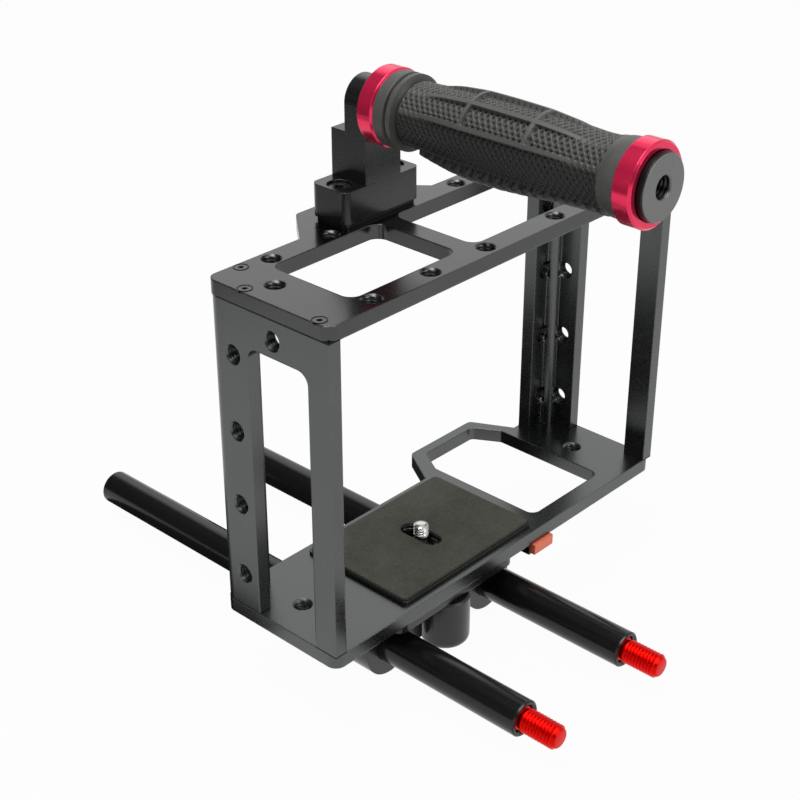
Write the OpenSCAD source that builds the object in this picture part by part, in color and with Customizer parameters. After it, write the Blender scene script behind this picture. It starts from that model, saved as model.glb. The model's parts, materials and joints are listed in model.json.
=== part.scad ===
// Camera cage on two support rods, with a top handle.
// All sizes are in millimetres. X is the width, Y the depth and Z points up.
// The origin is the middle of the cage's plan at the underside of the base plate.
// The near side of the cage is at negative Y.

/* [Cage] */
// Width of the cage over its side plates
cage_w = 200; // [150:1:260]
// Depth of the cage
cage_d = 61; // [54:1:90]
// Thickness of the base plate
base_t = 6; // [5:0.5:10]
// Height of a side plate
side_h = 130; // [110:1:180]
// Thickness of the top plate
top_t = 6; // [4:0.5:10]
// Corner radius of the base plate in plan
base_corner_r = 4.5; // [1:0.5:6]
// Corner radius of the top plate in plan
top_corner_r = 4; // [1:0.5:6]

/* [Side plates] */
// Thickness of the side wall
wall_t = 5.5; // [5:0.5:8]
// Depth of the near post
near_post_d = 10.6; // [8:0.1:16]
// Depth of the far post
far_post_d = 19.9; // [16:0.1:26]
// Height of the bar above the side window
side_bar_h = 15; // [12:0.5:24]
// Radius of the side window's upper corners
side_window_r = 5; // [2:0.5:8]
// Thickness of the far flange
flange_t = 6; // [5:0.5:9]
// Reach of the far flange from the outer face
flange_reach = 18.4; // [16:0.1:26]
// Radius of the far outer edge
flange_edge_r = 5; // [2:0.5:5]

/* [Accessory holes] */
// Diameter of a threaded accessory hole
tap_d = 6.4; // [4:0.1:9]
// Diameter of the bevel at the mouth of a hole
tap_mouth_d = 8; // [6:0.1:10]
// Depth of that bevel
tap_bevel = 0.8; // [0.2:0.1:1.5]
// Place of the side wall holes along Y
side_tap_y = 18.3; // [14:0.1:22]
// Height of the lowest hole
side_tap_z = 21; // [16:0.5:40]
// Distance of the highest hole under the wall's upper edge
side_tap_drop = 20.5; // [18:0.5:30]
// Number of holes up the post
side_taps = 4; // [2:1:4]
// Place of the upper bar's hole along Y
bar_tap_y = -2.4; // [-10:0.1:8]
// Distance of that hole under the wall's upper edge
bar_tap_drop = 8.3; // [6:0.1:12]
// Distance of the flange holes from the cage's outer face
flange_tap_in = 11.5; // [9:0.1:14]

/* [Plate screws] */
// Thread diameter of the plate screws
plate_screw_d = 3; // [2:0.5:4]
// Head diameter of the plate screws
plate_screw_head_d = 5.5; // [4:0.1:7]
// Height of the countersunk head
plate_screw_head_h = 1.7; // [1:0.1:3]
// Length of a plate screw with its head
plate_screw_l = 12; // [9:0.5:20]
// Width of the hexagon socket over its corners
plate_socket_d = 2.3; // [1:0.1:3]
// Depth of the hexagon socket
plate_socket_h = 1.2; // [0.5:0.1:2]
// Place of the far wall screw along Y
wall_screw_far_y = 13.2; // [12:0.1:14]
// Place of the near wall screw along Y
wall_screw_near_y = -23.6; // [-28:0.1:-20]
// Distance of the flange screw from the cage's outer face
flange_screw_in = 14; // [9:0.1:16]

/* [Top plate] */
// Left end of the left window
top_window_x0 = -78.7; // [-84:0.1:-60]
// Right end of the left window
top_window_x1 = -23; // [-40:0.1:-20]
// Left end of the right window
top_window_x2 = -14.2; // [-16:0.1:0]
// Right end of the right window
top_window_x3 = 78.7; // [60:0.1:84]
// Depth of both windows
top_window_d = 40.6; // [20:0.1:41]
// Corner radius of both windows
top_window_r = 5; // [1:0.5:8]
// Distance of the two hole rows from the plate's middle
top_row_y = 25; // [24.5:0.1:26]
// Places of the near row's holes, as shares of half the cage's width
near_row_shares = [-0.735, -0.435, -0.131, 0.278, 0.575];
// Places of the far row's holes, as shares of half the cage's width
far_row_shares = [-0.735, -0.435, 0.278, 0.575];
// Distance of the end holes from the cage's outer face
end_tap_in = 11.7; // [10:0.1:15]
// Place of the end holes along Y
end_tap_y = 7.4; // [-8:0.1:8]
// Middle of the tongue along X
tongue_x = -17.3; // [-30:0.1:30]
// Width of the tongue at its foot
tongue_foot_w = 73.4; // [50:0.1:90]
// Width of the tongue at its tip
tongue_tip_w = 42; // [41:0.1:60]
// Reach of the tongue beyond the plate
tongue_reach = 18.3; // [12:0.1:30]
// Radius of the tongue's corners
tongue_r = 3.5; // [1:0.5:6]

/* [Base plate] */
// Left end of the loop's foot
loop_foot_x0 = 17.1; // [0:0.1:26]
// Right end of the loop's foot
loop_foot_x1 = 78.2; // [72:0.1:90]
// Left end of the loop's far edge
loop_tip_x0 = 28.4; // [10:0.1:40]
// Right end of the loop's far edge
loop_tip_x1 = 68.4; // [60:0.1:80]
// Reach of the loop beyond the base plate
loop_reach = 18.9; // [14:0.1:30]
// Radius of the loop's corners
loop_r = 3; // [1:0.5:6]
// Left end of the loop's window
loop_window_x0 = 26.4; // [20:0.1:40]
// Right end of the loop's window
loop_window_x1 = 71.9; // [60:0.1:72]
// Near end of the loop's window
loop_window_y0 = -22.4; // [-24:0.1:-10]
// Far end of the loop's window
loop_window_y1 = 44.8; // [36:0.1:45]
// Bevel of the window's far corners along X
loop_bevel_x = 7; // [2:0.5:10]
// Bevel of the window's far corners along Y
loop_bevel_y = 12; // [2:0.5:14]
// Corner radius of the loop's window
loop_window_r = 4; // [1:0.5:5]
// Place of the base plate's left hole along X
base_tap_left_x = -84.5; // [-90:0.1:-64]
// Place of the base plate's left hole along Y
base_tap_left_y = 3; // [-20:0.1:20]
// Place of the base plate's right hole along X
base_tap_right_x = 82.6; // [78:0.1:88]
// Place of the base plate's right hole along Y
base_tap_right_y = 0.2; // [-20:0.1:20]

/* [Camera pad] */
// Middle of the pad along X
pad_x = -19.5; // [-40:0.1:10]
// Width of the carrier plate
pad_plate_w = 78; // [60:0.5:90]
// Depth of the carrier plate
pad_plate_d = 54; // [40:0.5:60]
// Thickness of the carrier plate
pad_plate_t = 1.3; // [1:0.1:3]
// Step from the carrier plate's edge to the rubber's edge
pad_step = 0.8; // [0.4:0.1:3]
// Thickness of the rubber
pad_t = 1.2; // [1:0.1:4]
// Corner radius of the carrier plate
pad_corner_r = 2; // [1:0.5:6]
// Length of the pad's slot
pad_slot_l = 20; // [14:0.5:30]
// Width of the pad's slot
pad_slot_w = 8.5; // [7:0.1:12]

/* [Camera screw] */
// Thread diameter of the camera screw
cam_screw_d = 6.35; // [5:0.05:10]
// Diameter of the camera screw's plain neck
cam_neck_d = 5.2; // [4:0.1:6]
// Height of the screw's tip above the rubber
cam_screw_rise = 5.3; // [3:0.1:9]
// Height of the rounded tip
cam_screw_dome = 1; // [0.5:0.1:2]
// Diameter of the screw's head
cam_head_d = 11; // [9:0.5:14]
// Height of the screw's head
cam_head_h = 3.2; // [2:0.1:3.5]
// Width of the head's hexagon socket over its corners
cam_socket_d = 4.6; // [3:0.1:6]
// Depth of that socket
cam_socket_h = 2; // [1:0.1:2.5]
// Width of the base plate's slot
cam_slot_w = 7.2; // [6.8:0.1:9]
// Side length of the carriage
carriage_w = 12.8; // [11:0.1:16]
// Thickness of the carriage
carriage_t = 2.7; // [2:0.1:3]
// Travel of the camera screw each way
cam_travel = 5.5; // [2:0.1:6]

/* [Rods] */
// Diameter of the rods
rod_d = 15; // [15:1:19]
// Pitch of the rods
rod_pitch = 60; // [60:1:80]
// Middle between the rods along X
rod_mid_x = -26.2; // [-40:0.1:0]
// Depth of the rods' axes under the base plate
rod_drop = 17.9; // [15:0.1:24]
// Near end of the left rod
rod_left_y0 = -86; // [-120:1:-60]
// Length of the left rod
rod_left_l = 243; // [150:1:300]
// Near end of the right rod
rod_right_y0 = -89; // [-120:1:-60]
// Length of the right rod
rod_right_l = 229; // [150:1:300]
// Diameter of the bore at the rod's end
rod_mouth_d = 10.8; // [10:0.1:12]
// Depth of that bore
rod_mouth_h = 5; // [2:0.5:10]
// Diameter of the bevel at the rod's end
rod_bevel_d = 12.2; // [11:0.1:14]
// Depth of that bevel
rod_bevel_h = 0.8; // [0.2:0.1:2]
// Bevel of the rod's outer edge
rod_edge = 0.6; // [0.2:0.1:1.5]
// Depth of the threaded bore
rod_thread_h = 26; // [15:1:40]

/* [Studs] */
// Diameter of the studs
stud_d = 10; // [6:0.5:10]
// Length of a stud inside its rod
stud_in_l = 22; // [12:1:30]
// Length of a stud outside its rod
stud_out_l = 16.6; // [8:0.1:24]
// Diameter of the groove between a stud's two threads
stud_groove_d = 8.4; // [5:0.1:9]
// Width of that groove
stud_groove_w = 1.6; // [0.8:0.1:3]
// Length of the stud's tapered tip
stud_tip_h = 1.6; // [0.5:0.1:3]
// Diameter at the very end of the tip
stud_tip_d = 7; // [4:0.5:9]

/* [Rod clamp] */
// Radius of a clamp lobe
lobe_r = 13; // [10:0.5:16]
// Distance of the lobes' round undersides' middle under the rods' axes
lobe_sink = 1; // [0:0.1:3]
// Near face of the lobes
lobe_y0 = -17; // [-30:0.5:-8]
// Far face of the lobes
lobe_y1 = 16; // [8:0.5:30]
// Near face of the bridge between the lobes
bridge_y0 = -8.9; // [-9:0.1:-5]
// Depth of the bridge under the base plate
bridge_drop = 25; // [20:0.5:30]
// Thickness of the top flange
clamp_flange_t = 7; // [5:0.5:8]
// Near edge of the top flange
clamp_flange_y0 = -27; // [-29:0.5:-20]
// Width of the top flange
clamp_flange_w = 71; // [60:0.1:86]
// Corner radius of the top flange
clamp_flange_r = 5; // [1:0.5:8]
// Diameter of the locating pins
clamp_pin_d = 4; // [3:0.5:6]
// Length of the locating pins
clamp_pin_l = 8; // [5:0.5:9]
// Depth of the locating pins in the base plate
clamp_pin_rise = 3.5; // [2:0.5:4]
// Distance of the pins from the middle between the rods
clamp_pin_x = 19; // [10:0.5:22]
// Place of the pins along Y
clamp_pin_y = 12; // [8:0.5:14]
// Diameter of the rods' set screws
set_screw_d = 4; // [3:0.5:5]
// Length of the rods' set screws
set_screw_l = 4.6; // [3:0.1:5]
// Width of the set screws' socket over its corners
set_socket_d = 2.3; // [1:0.1:3]
// Depth of the set screws' socket
set_socket_h = 2; // [1:0.1:2.5]
// Width of the hexagon key's slot under the camera screw
key_slot_w = 5; // [4:0.1:6]
// Length of the key's slot
key_slot_l = 13; // [8:0.5:14]

/* [Clamp knob] */
// Place of the knob along Y
knob_y = -19.6; // [-22:0.1:-18]
// Room between the knob and the clamp's shoulders beside it
knob_room = 1; // [0.5:0.1:3]
// Radius of the knob
knob_r = 10.2; // [7:0.1:11]
// Height of the knob
knob_h = 22.7; // [14:0.1:26]
// Height of the knob's rounded lower edge
knob_round_h = 3; // [1:0.5:5]
// Points of the rounded edge, as shares of its height
knob_round_shares = [0.42, 0.2, 0.12, 0.55];
// Diameter of the knob's thread
knob_thread_d = 6; // [4:0.5:8]
// Depth of the stem inside the knob
knob_stem_in = 12; // [6:0.5:18]
// Bevel of the stem's tip
knob_stem_bevel = 0.5; // [0.2:0.1:1]
// Distance of the stem's tip under the carrier plate
knob_stem_gap = 0.6; // [0.3:0.1:2]

/* [Latch] */
// Reach of the latch's front to the left past the clamp's right side
latch_lap = 0.8; // [-2:0.1:2]
// Width of the latch's front
latch_w = 12; // [9:0.1:16]
// Height of the latch's front
latch_h = 6; // [4:0.1:7]
// Depth of the latch's front
latch_front_d = 5.5; // [4:0.1:8]
// Near face of the red cap
latch_cap_y0 = -32; // [-34:0.1:-31]
// Depth of the red cap
latch_cap_d = 3; // [2:0.1:4]
// Height of the red cap
latch_cap_h = 4.6; // [3:0.1:6]
// Distance of the latch's stem from the front's left side
latch_stem_in = 3.6; // [3:0.1:4]
// Width of the latch's stem
latch_stem_w = 4.2; // [4:0.1:5]
// Far end of the latch's stem
latch_stem_y1 = -9.5; // [-14:0.1:-8]
// Height of the latch's stem
latch_stem_h = 4; // [3:0.1:5]
// Reach of the latch's tooth to the left of the stem
tooth_reach = 4.2; // [3.2:0.1:5]
// Depth of the tooth
tooth_d = 3; // [2:0.1:4]
// Height of the tooth
tooth_h = 2; // [1:0.1:3]
// Travel of the latch
latch_travel = 4; // [2:0.1:5]
// Far end of the guide
guide_y1 = 5; // [0:0.1:10]
// Depth of the guide's solid far end
guide_block_d = 7.5; // [5:0.1:10]
// Distance of the guide from the clamp's right side
guide_gap = 0.3; // [0.2:0.1:1]
// Width of the guide
guide_w = 9.1; // [8:0.1:13]
// Depth of the guide under the base plate
guide_drop = 8; // [7:0.1:10]
// Thread diameter of the guide's screws
guide_screw_d = 2; // [1.6:0.1:2.5]
// Length of the guide's screws with their heads
guide_screw_l = 11; // [9:0.5:12]
// Head diameter of the guide's screws
guide_screw_head_d = 3.4; // [3:0.1:4]
// Head height of the guide's screws
guide_screw_head_h = 1.2; // [0.8:0.1:2]
// Pitch of the guide's screws along X
guide_screw_pitch = 4.8; // [4:0.1:5]
// Outer diameter of the latch spring
spring_d = 3.4; // [2:0.1:4]
// Wire diameter of the latch spring
spring_wire_d = 0.5; // [0.3:0.1:0.8]
// Diameter of the wire that joins the spring's rings
spring_link_d = 0.36; // [0.2:0.02:0.4]
// Number of rings that stand for the spring's turns
spring_rings = 5; // [3:1:6]

/* [Handle clamp] */
// Middle of the handle along X
handle_x = -17.4; // [-30:0.1:30]
// Width of the clamp block
block_w = 41; // [34:0.1:50]
// Near face of the clamp block
block_y0 = 22.3; // [21:0.1:24]
// Depth of the clamp block
block_d = 18.2; // [14:0.1:24]
// Height of the clamp block
block_h = 15; // [10:0.5:22]
// Corner radius of the clamp block
block_r = 3; // [2:0.5:8]
// Height of the block's set-back foot
foot_h = 2; // [1:0.5:8]
// Set-back of the foot
foot_in = 1; // [0.5:0.1:4]
// Distance of the block's screws from the middle
block_screw_x = 14.5; // [12:0.1:17]
// Thread diameter of the block's screws
block_screw_d = 5; // [4:0.5:6]
// Head diameter of the block's screws
block_head_d = 8.5; // [7:0.1:10]
// Head height of the block's screws
block_head_h = 5; // [3:0.1:6]
// Diameter of the counterbore for those heads
block_bore_d = 9.4; // [8:0.1:11]
// Depth of that counterbore
block_bore_h = 6; // [4:0.1:8]
// Width of the heads' hexagon socket over its corners
block_socket_d = 4.6; // [3:0.1:6]
// Depth of the heads' socket
block_socket_h = 2.6; // [1:0.1:4]

/* [Handle post] */
// Width of the post
post_w = 19; // [14:0.5:24]
// Depth of the lower part of the post
post_d = 17.7; // [12:0.1:18]
// Height of the post's shoulder above the clamp block
post_shoulder_h = 19; // [10:0.5:26]
// Depth of the upper lug
lug_d = 10.7; // [8:0.1:12]
// Thread diameter of the screw from the block into the post
post_screw_d = 6; // [5:0.5:8]
// Length of that screw with its head
post_screw_l = 24; // [18:1:30]
// Head diameter of that screw
post_head_d = 10; // [9:0.5:11]
// Head height of that screw
post_head_h = 3; // [2:0.5:4]

/* [Handle] */
// Height of the handle's axis above the top plate
handle_rise = 44.8; // [40:0.1:60]
// Diameter of the handle bar
bar_d = 16; // [14:0.5:18]
// Thread diameter of the handle bolt
bolt_d = 6; // [5:0.5:8]
// Length of the handle bolt's shank
bolt_l = 26; // [18:1:40]
// Head diameter of the handle bolt
bolt_head_d = 10; // [9:0.5:12]
// Head height of the handle bolt
bolt_head_h = 4; // [3:0.5:6]
// Width of the bolt's hexagon socket over its corners
bolt_socket_d = 5.6; // [4:0.1:7]
// Depth of the bolt's socket
bolt_socket_h = 2.6; // [1:0.1:3]
// Depth of the far lock ring
ring_far_w = 7.8; // [5:0.1:10]
// Radius of the far lock ring
ring_far_r = 14.9; // [13:0.1:17]
// Near face of the near lock ring
ring_near_y0 = -99.6; // [-110:0.1:-90]
// Depth of the near lock ring
ring_near_w = 7.8; // [5:0.1:10]
// Radius of the near lock ring
ring_near_r = 15.2; // [13:0.1:17]
// Bevel of the lock rings' edges
ring_edge = 0.8; // [0.2:0.1:2]
// Thread diameter of the lock rings' grub screws
ring_screw_d = 3; // [2:0.5:4]
// Length of the grub screws
ring_screw_l = 5; // [3:0.1:5.5]
// Radius of the end cap's disk
cap_r = 12; // [9:0.1:13]
// Near face of the end cap
cap_y0 = -102.3; // [-115:0.1:-97]
// Thickness of the end cap's disk
cap_t = 4; // [2:0.1:5]
// Diameter of the end cap's spigot
cap_spigot_d = 11; // [10:0.1:12]
// Length of the spigot inside the bar
cap_spigot_l = 14; // [8:0.5:20]
// Diameter of the end cap's threaded hole
cap_hole_d = 8.2; // [6:0.1:9]
// Depth of that hole
cap_hole_h = 12; // [6:0.5:14]
// Bevel at the mouth of that hole
cap_hole_bevel = 0.5; // [0.2:0.1:1]

/* [Grip] */
// Largest radius of the grip's collars
grip_r = 14.4; // [13:0.1:16]
// Places of the grip's profile points, as shares of its length from the near end
grip_at_shares = [0, 0.045, 0.068, 0.09, 0.15, 0.225, 0.34, 0.49, 0.68, 0.78, 0.85, 0.895, 0.918,
    0.925, 0.942, 0.946, 0.957, 0.961, 1];
// Radii of the grip at those places, as shares of its largest radius
grip_r_shares = [0.985, 0.97, 0.915, 0.86, 0.85, 0.88, 0.92, 0.93, 0.915, 0.87, 0.84, 0.83, 0.85,
    0.985, 0.985, 0.93, 0.93, 0.985, 1];
// Places of the ribs' profile points, as shares of the grip's length
rib_at_shares = [0.15, 0.235, 0.36, 0.5, 0.62, 0.74, 0.835];
// Radii of the ribs at those places, as shares of their largest radius
rib_r_shares = [0.79, 0.9, 0.98, 1, 1, 0.93, 0.79];
// Largest radius of the ribs
rib_r = 15.2; // [14.5:0.1:17]
// Angle that a long rib spans round the grip
rib_span = 10; // [5:1:20]
// Angles of the long ribs from straight up
rib_angles = [-67, -28, 11];
// Width of the cross ribs
cross_rib_w = 2; // [1:0.1:4]
// Places of the cross ribs, as shares of the grip's length
cross_rib_shares = [0.358, 0.622];
// Largest radius of the bars under the fingers
belly_r = 17; // [15:0.1:18]
// Places of the bars' outline points, as shares of the grip's length
belly_at_shares = [0, 0.13, 0.25, 0.36, 0.48, 0.61, 0.7, 0.79, 0.87];
// Radii of the bars at those places, as shares of their largest radius
belly_r_shares = [0.83, 0.84, 0.88, 0.94, 0.99, 1, 0.955, 0.87, 0.78];
// Number of bars under the fingers
belly_bars = 19; // [8:1:24]
// Near end of the bars, as a share of the grip's length
belly_from_share = 0.075; // [0.07:0.005:0.2]
// Far end of the bars, as a share of the grip's length
belly_to_share = 0.815; // [0.6:0.005:0.84]
// Height of the bars
belly_bar_h = 1.1; // [0.4:0.1:2]
// Width of a bar as a share of their pitch
belly_bar_share = 0.6; // [0.3:0.05:0.8]
// Angle that the bars span round the grip
belly_span = 150; // [60:5:180]
// Angle of the bars' middle from straight up
belly_angle = 150; // [140:1:200]

/* [Clearances] */
// Radial clearance of a thread or a press fit
thread_gap = 0.05; // [0.02:0.01:0.1]
// Radial clearance of a turning or sliding fit
run_gap = 0.05; // [0.02:0.01:0.1]
// Gap between pieces that move past each other
move_gap = 0.3; // [0.3:0.05:0.6]

/* [Hidden] */
$fn = 64;
over = 1;
hex = 6;
half = cage_w / 2;
near_y = -cage_d / 2;
far_y = cage_d / 2;
side_top = base_t + side_h;
cage_top = side_top + top_t;
inner_x = half - wall_t;
wall_screw_x = half - wall_t / 2;
flange_screw_x = half - flange_screw_in;
flange_screw_y = far_y - flange_t / 2;
flange_tap_x = half - flange_tap_in;
end_tap_x = half - end_tap_in;
handle_z = cage_top + handle_rise;
screw_spots = [
    [wall_screw_x, wall_screw_far_y],
    [wall_screw_x, wall_screw_near_y],
    [flange_screw_x, flange_screw_y]];
side_window_y0 = near_y + near_post_d;
side_window_y1 = far_y - far_post_d;
side_window_top = side_top - side_bar_h;
side_tap_top = side_top - side_tap_drop;
side_tap_pitch = (side_tap_top - side_tap_z) / (side_taps - 1);
bar_tap_z = side_top - bar_tap_drop;
rubber_z = base_t + pad_plate_t;
pad_top = rubber_z + pad_t;
cam_top = pad_top + cam_screw_rise;
carriage_room_w = carriage_w + 2 * move_gap;
carriage_room_l = carriage_room_w + 2 * cam_travel;
carriage_room_h = carriage_t + 2 * move_gap;
head_room_w = cam_head_d + 2 * move_gap;
head_room_l = head_room_w + 2 * cam_travel;
head_room_h = cam_head_h + move_gap;
rod_z = -rod_drop;
rod_r = rod_d / 2;
rod_left_x = rod_mid_x - rod_pitch / 2;
rod_right_x = rod_mid_x + rod_pitch / 2;
clamp_x0 = rod_mid_x - clamp_flange_w / 2;
clamp_x1 = rod_mid_x + clamp_flange_w / 2;
clamp_side_x = rod_right_x + lobe_r;
lobe_bottom = rod_z - lobe_sink - lobe_r;
knob_side = knob_r + knob_room;
shoulder_w = rod_pitch / 2 - knob_side;
set_screw_top = rod_z - rod_r - move_gap;
knob_top = -clamp_flange_t - move_gap;
knob_bottom = knob_top - knob_h;
stem_bottom = knob_top - knob_stem_in;
stem_top = base_t - knob_stem_gap;
latch_x0 = clamp_side_x - latch_lap;
latch_x1 = latch_x0 + latch_w;
guide_x0 = clamp_side_x + guide_gap;
guide_x1 = guide_x0 + guide_w;
latch_z1 = -move_gap;
latch_mid_z = latch_z1 - latch_h / 2;
latch_front_y0 = latch_cap_y0 + latch_cap_d;
latch_front_y1 = latch_front_y0 + latch_front_d;
latch_stem_x0 = latch_x0 + latch_stem_in;
latch_stem_x1 = latch_stem_x0 + latch_stem_w;
latch_mid_x = latch_stem_x0 + latch_stem_w / 2;
tooth_x0 = latch_stem_x0 - tooth_reach;
tooth_y0 = latch_stem_y1 - tooth_d;
notch_y1 = latch_stem_y1 + latch_travel + move_gap;
drop_y0 = tooth_y0 + latch_travel - move_gap;
guide_y0 = latch_front_y1 + latch_travel + move_gap;
guide_block_y0 = guide_y1 - guide_block_d;
guide_mid_x = (guide_x0 + guide_x1) / 2;
spring_l = guide_block_y0 - latch_stem_y1;
spring_mid_r = (spring_d - spring_wire_d) / 2;
block_top = cage_top + block_h;
block_mid_y = block_y0 + block_d / 2;
shoulder_z = block_top + post_shoulder_h;
bar_y0 = cap_y0 + cap_t;
bar_y1 = block_y0;
bar_r = bar_d / 2;
bolt_y1 = block_y0 + lug_d - move_gap;
bolt_shank_y1 = bolt_y1 - bolt_head_h;
ring_far_y1 = block_y0 - move_gap;
ring_far_y0 = ring_far_y1 - ring_far_w;
ring_near_y1 = ring_near_y0 + ring_near_w;
ring_recess_y1 = bar_y0 + move_gap;
grip_y0 = ring_near_y1;
grip_l = ring_far_y0 - ring_near_y1;
rib_root_r = (bar_r + grip_r) / 2;
rib_points = [for (i = [0 : len(rib_r_shares) - 1]) [rib_r_shares[i] * rib_r, rib_at_shares[i] * grip_l]];
grip_points = [for (i = [0 : len(grip_r_shares) - 1]) [grip_r_shares[i] * grip_r, grip_at_shares[i] * grip_l]];
cross_rib_r = rib_r * 0.99;
belly_at_r = [for (i = [0 : len(belly_r_shares) - 1])
    [belly_at_shares[i] * grip_l, belly_r_shares[i] * belly_r]];
belly_pitch = (belly_to_share - belly_from_share) * grip_l / (belly_bars - 1);
belly_points = [for (i = [0 : belly_bars - 1])
    let (
        at = belly_from_share * grip_l + i * belly_pitch,
        w = belly_pitch * belly_bar_share / 2,
        r = lookup(at, belly_at_r))
    each [
        [r - belly_bar_h, at - w],
        [r - belly_bar_h / 4, at - w * 0.75],
        [r, at - w / 2],
        [r, at + w / 2],
        [r - belly_bar_h / 4, at + w * 0.75],
        [r - belly_bar_h, at + w]]];

// A rod of the given radius along Y, from y0 to y1.
module bar_along_y(r, y0, y1) {
    translate([0, y0, 0])
        rotate([-90, 0, 0])
            cylinder(r = r, h = y1 - y0);
}

// A cone along Y with radius r0 at y0 and r1 at y1.
module cone_along_y(r0, r1, y0, y1) {
    translate([0, y0, 0])
        rotate([-90, 0, 0])
            cylinder(r1 = r0, r2 = r1, h = y1 - y0);
}

// A plan rectangle with round corners, extruded up by t.
module round_slab(x0, y0, x1, y1, r, t) {
    translate([x0 + r, y0, 0])
        cube([x1 - x0 - 2 * r, y1 - y0, t]);
    translate([x0, y0 + r, 0])
        cube([x1 - x0, y1 - y0 - 2 * r, t]);
    for (x = [x0 + r, x1 - r])
        for (y = [y0 + r, y1 - r])
            translate([x, y, 0])
                cylinder(r = r, h = t);
}

// A slot along Y with round ends, extruded up by t.
module slot_along_y(w, l, t) {
    translate([-w / 2, -(l - w) / 2, 0])
        cube([w, l - w, t]);
    for (s = [-1, 1])
        translate([0, s * (l - w) / 2, 0])
            cylinder(d = w, h = t);
}

// Corner points of a path, each replaced by an arc of radius r.
function unit(v) = v / norm(v);
function arc_points(p, q, s, r) =
    let (
        a = unit(p - q),
        b = unit(s - q),
        turn = acos(a * b),
        reach = r / tan(turn / 2),
        mid = q + unit(a + b) * (r / sin(turn / 2)),
        from = q + a * reach - mid,
        to = q + b * reach - mid)
    [for (i = [0 : 8]) mid + r * unit(from * (8 - i) + to * i)];
function round_path(points, radii) =
    [for (i = [0 : len(points) - 1])
        let (
            p = points[(i + len(points) - 1) % len(points)],
            s = points[(i + 1) % len(points)])
        for (q = radii[i] > 0 ? arc_points(p, points[i], s, radii[i]) : [points[i]])
            q];

// A threaded hole down from z = 0 through a plate of thickness t, beveled at both mouths.
module tap_hole(t) {
    translate([0, 0, -t - over])
        cylinder(d = tap_d, h = t + 2 * over);
    for (s = [0, 1])
        translate([0, 0, -s * t])
            mirror([0, 0, s])
                tap_bevel_cut();
}

module tap_bevel_cut() {
    translate([0, 0, -tap_bevel])
        cylinder(d1 = tap_d, d2 = tap_mouth_d + (tap_mouth_d - tap_d) * over / tap_bevel, h = tap_bevel + over);
}

// A countersunk screw hanging down from z = 0.
module plate_screw() {
    difference() {
        union() {
            translate([0, 0, -plate_screw_head_h])
                cylinder(d1 = plate_screw_d, d2 = plate_screw_head_d, h = plate_screw_head_h);
            translate([0, 0, -plate_screw_l])
                cylinder(d = plate_screw_d, h = plate_screw_l - plate_screw_head_h);
        }
        translate([0, 0, -plate_socket_h])
            cylinder(d = plate_socket_d, h = plate_socket_h + over, $fn = hex);
    }
}

// The room for such a screw.
module plate_screw_room() {
    translate([0, 0, -plate_screw_head_h])
        cylinder(d1 = plate_screw_d + 2 * thread_gap, d2 = plate_screw_head_d + 2 * thread_gap,
            h = plate_screw_head_h);
    cylinder(d = plate_screw_head_d + 2 * thread_gap, h = over);
    translate([0, 0, -plate_screw_l - thread_gap])
        cylinder(d = plate_screw_d + 2 * thread_gap, h = plate_screw_l);
}

// Children at each screw spot of both side plates.
module at_screw_spots() {
    for (s = [-1, 1])
        for (p = screw_spots)
            translate([s * p[0], p[1], 0])
                children();
}

module top_screw_rooms() {
    translate([0, 0, cage_top])
        at_screw_spots()
            plate_screw_room();
}

module base_screw_rooms() {
    mirror([0, 0, 1])
        at_screw_spots()
            plate_screw_room();
}

module base_plate() {
    loop_y = far_y + loop_reach;
    loop_outline = round_path(
        [[loop_foot_x0, 0], [loop_foot_x1, 0], [loop_foot_x1, far_y],
            [loop_tip_x1, loop_y], [loop_tip_x0, loop_y], [loop_foot_x0, far_y]],
        [0, 0, 0, loop_r, loop_r, 0]);
    loop_window = round_path(
        [[loop_window_x0, loop_window_y0], [loop_window_x1, loop_window_y0],
            [loop_window_x1, loop_window_y1 - loop_bevel_y], [loop_window_x1 - loop_bevel_x, loop_window_y1],
            [loop_window_x0 + loop_bevel_x, loop_window_y1], [loop_window_x0, loop_window_y1 - loop_bevel_y]],
        [loop_window_r, loop_window_r, loop_r, loop_r, loop_r, loop_r]);
    color("dimgray")
        difference() {
            union() {
                round_slab(-half, near_y, half, far_y, base_corner_r, base_t);
                linear_extrude(base_t)
                    polygon(loop_outline);
            }
            translate([0, 0, -over])
                linear_extrude(base_t + 2 * over)
                    polygon(loop_window);
            translate([base_tap_left_x, base_tap_left_y, base_t])
                tap_hole(base_t);
            translate([base_tap_right_x, base_tap_right_y, base_t])
                tap_hole(base_t);
            translate([pad_x, 0, -over])
                slot_along_y(cam_slot_w, pad_slot_l, base_t + 2 * over);
            translate([pad_x - carriage_room_w / 2, -carriage_room_l / 2, -over])
                cube([carriage_room_w, carriage_room_l, carriage_room_h + over]);
            translate([rod_mid_x, knob_y, -over])
                cylinder(d = knob_thread_d + 2 * run_gap, h = base_t + 2 * over);
            clamp_pin_rooms();
            guide_screw_rooms();
            base_screw_rooms();
        }
}

// The left side plate; the right one is its mirror image.
module side_plate() {
    difference() {
        union() {
            translate([-half, near_y, base_t])
                cube([wall_t, cage_d - flange_edge_r, side_h]);
            translate([-half + flange_edge_r, far_y - flange_t, base_t])
                cube([flange_reach - flange_edge_r, flange_t, side_h]);
            translate([-half + flange_edge_r, far_y - flange_edge_r, base_t])
                cylinder(r = flange_edge_r, h = side_h);
        }
        side_window_cut();
        for (i = [0 : side_taps - 1])
            translate([0, 0, side_tap_z + i * side_tap_pitch]) {
                translate([-half, side_tap_y, 0])
                    rotate([0, -90, 0])
                        tap_hole(wall_t);
                translate([-flange_tap_x, far_y, 0])
                    rotate([-90, 0, 0])
                        tap_hole(flange_t);
            }
        translate([-half, bar_tap_y, bar_tap_z])
            rotate([0, -90, 0])
                tap_hole(wall_t);
        top_screw_rooms();
        base_screw_rooms();
    }
}

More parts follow.
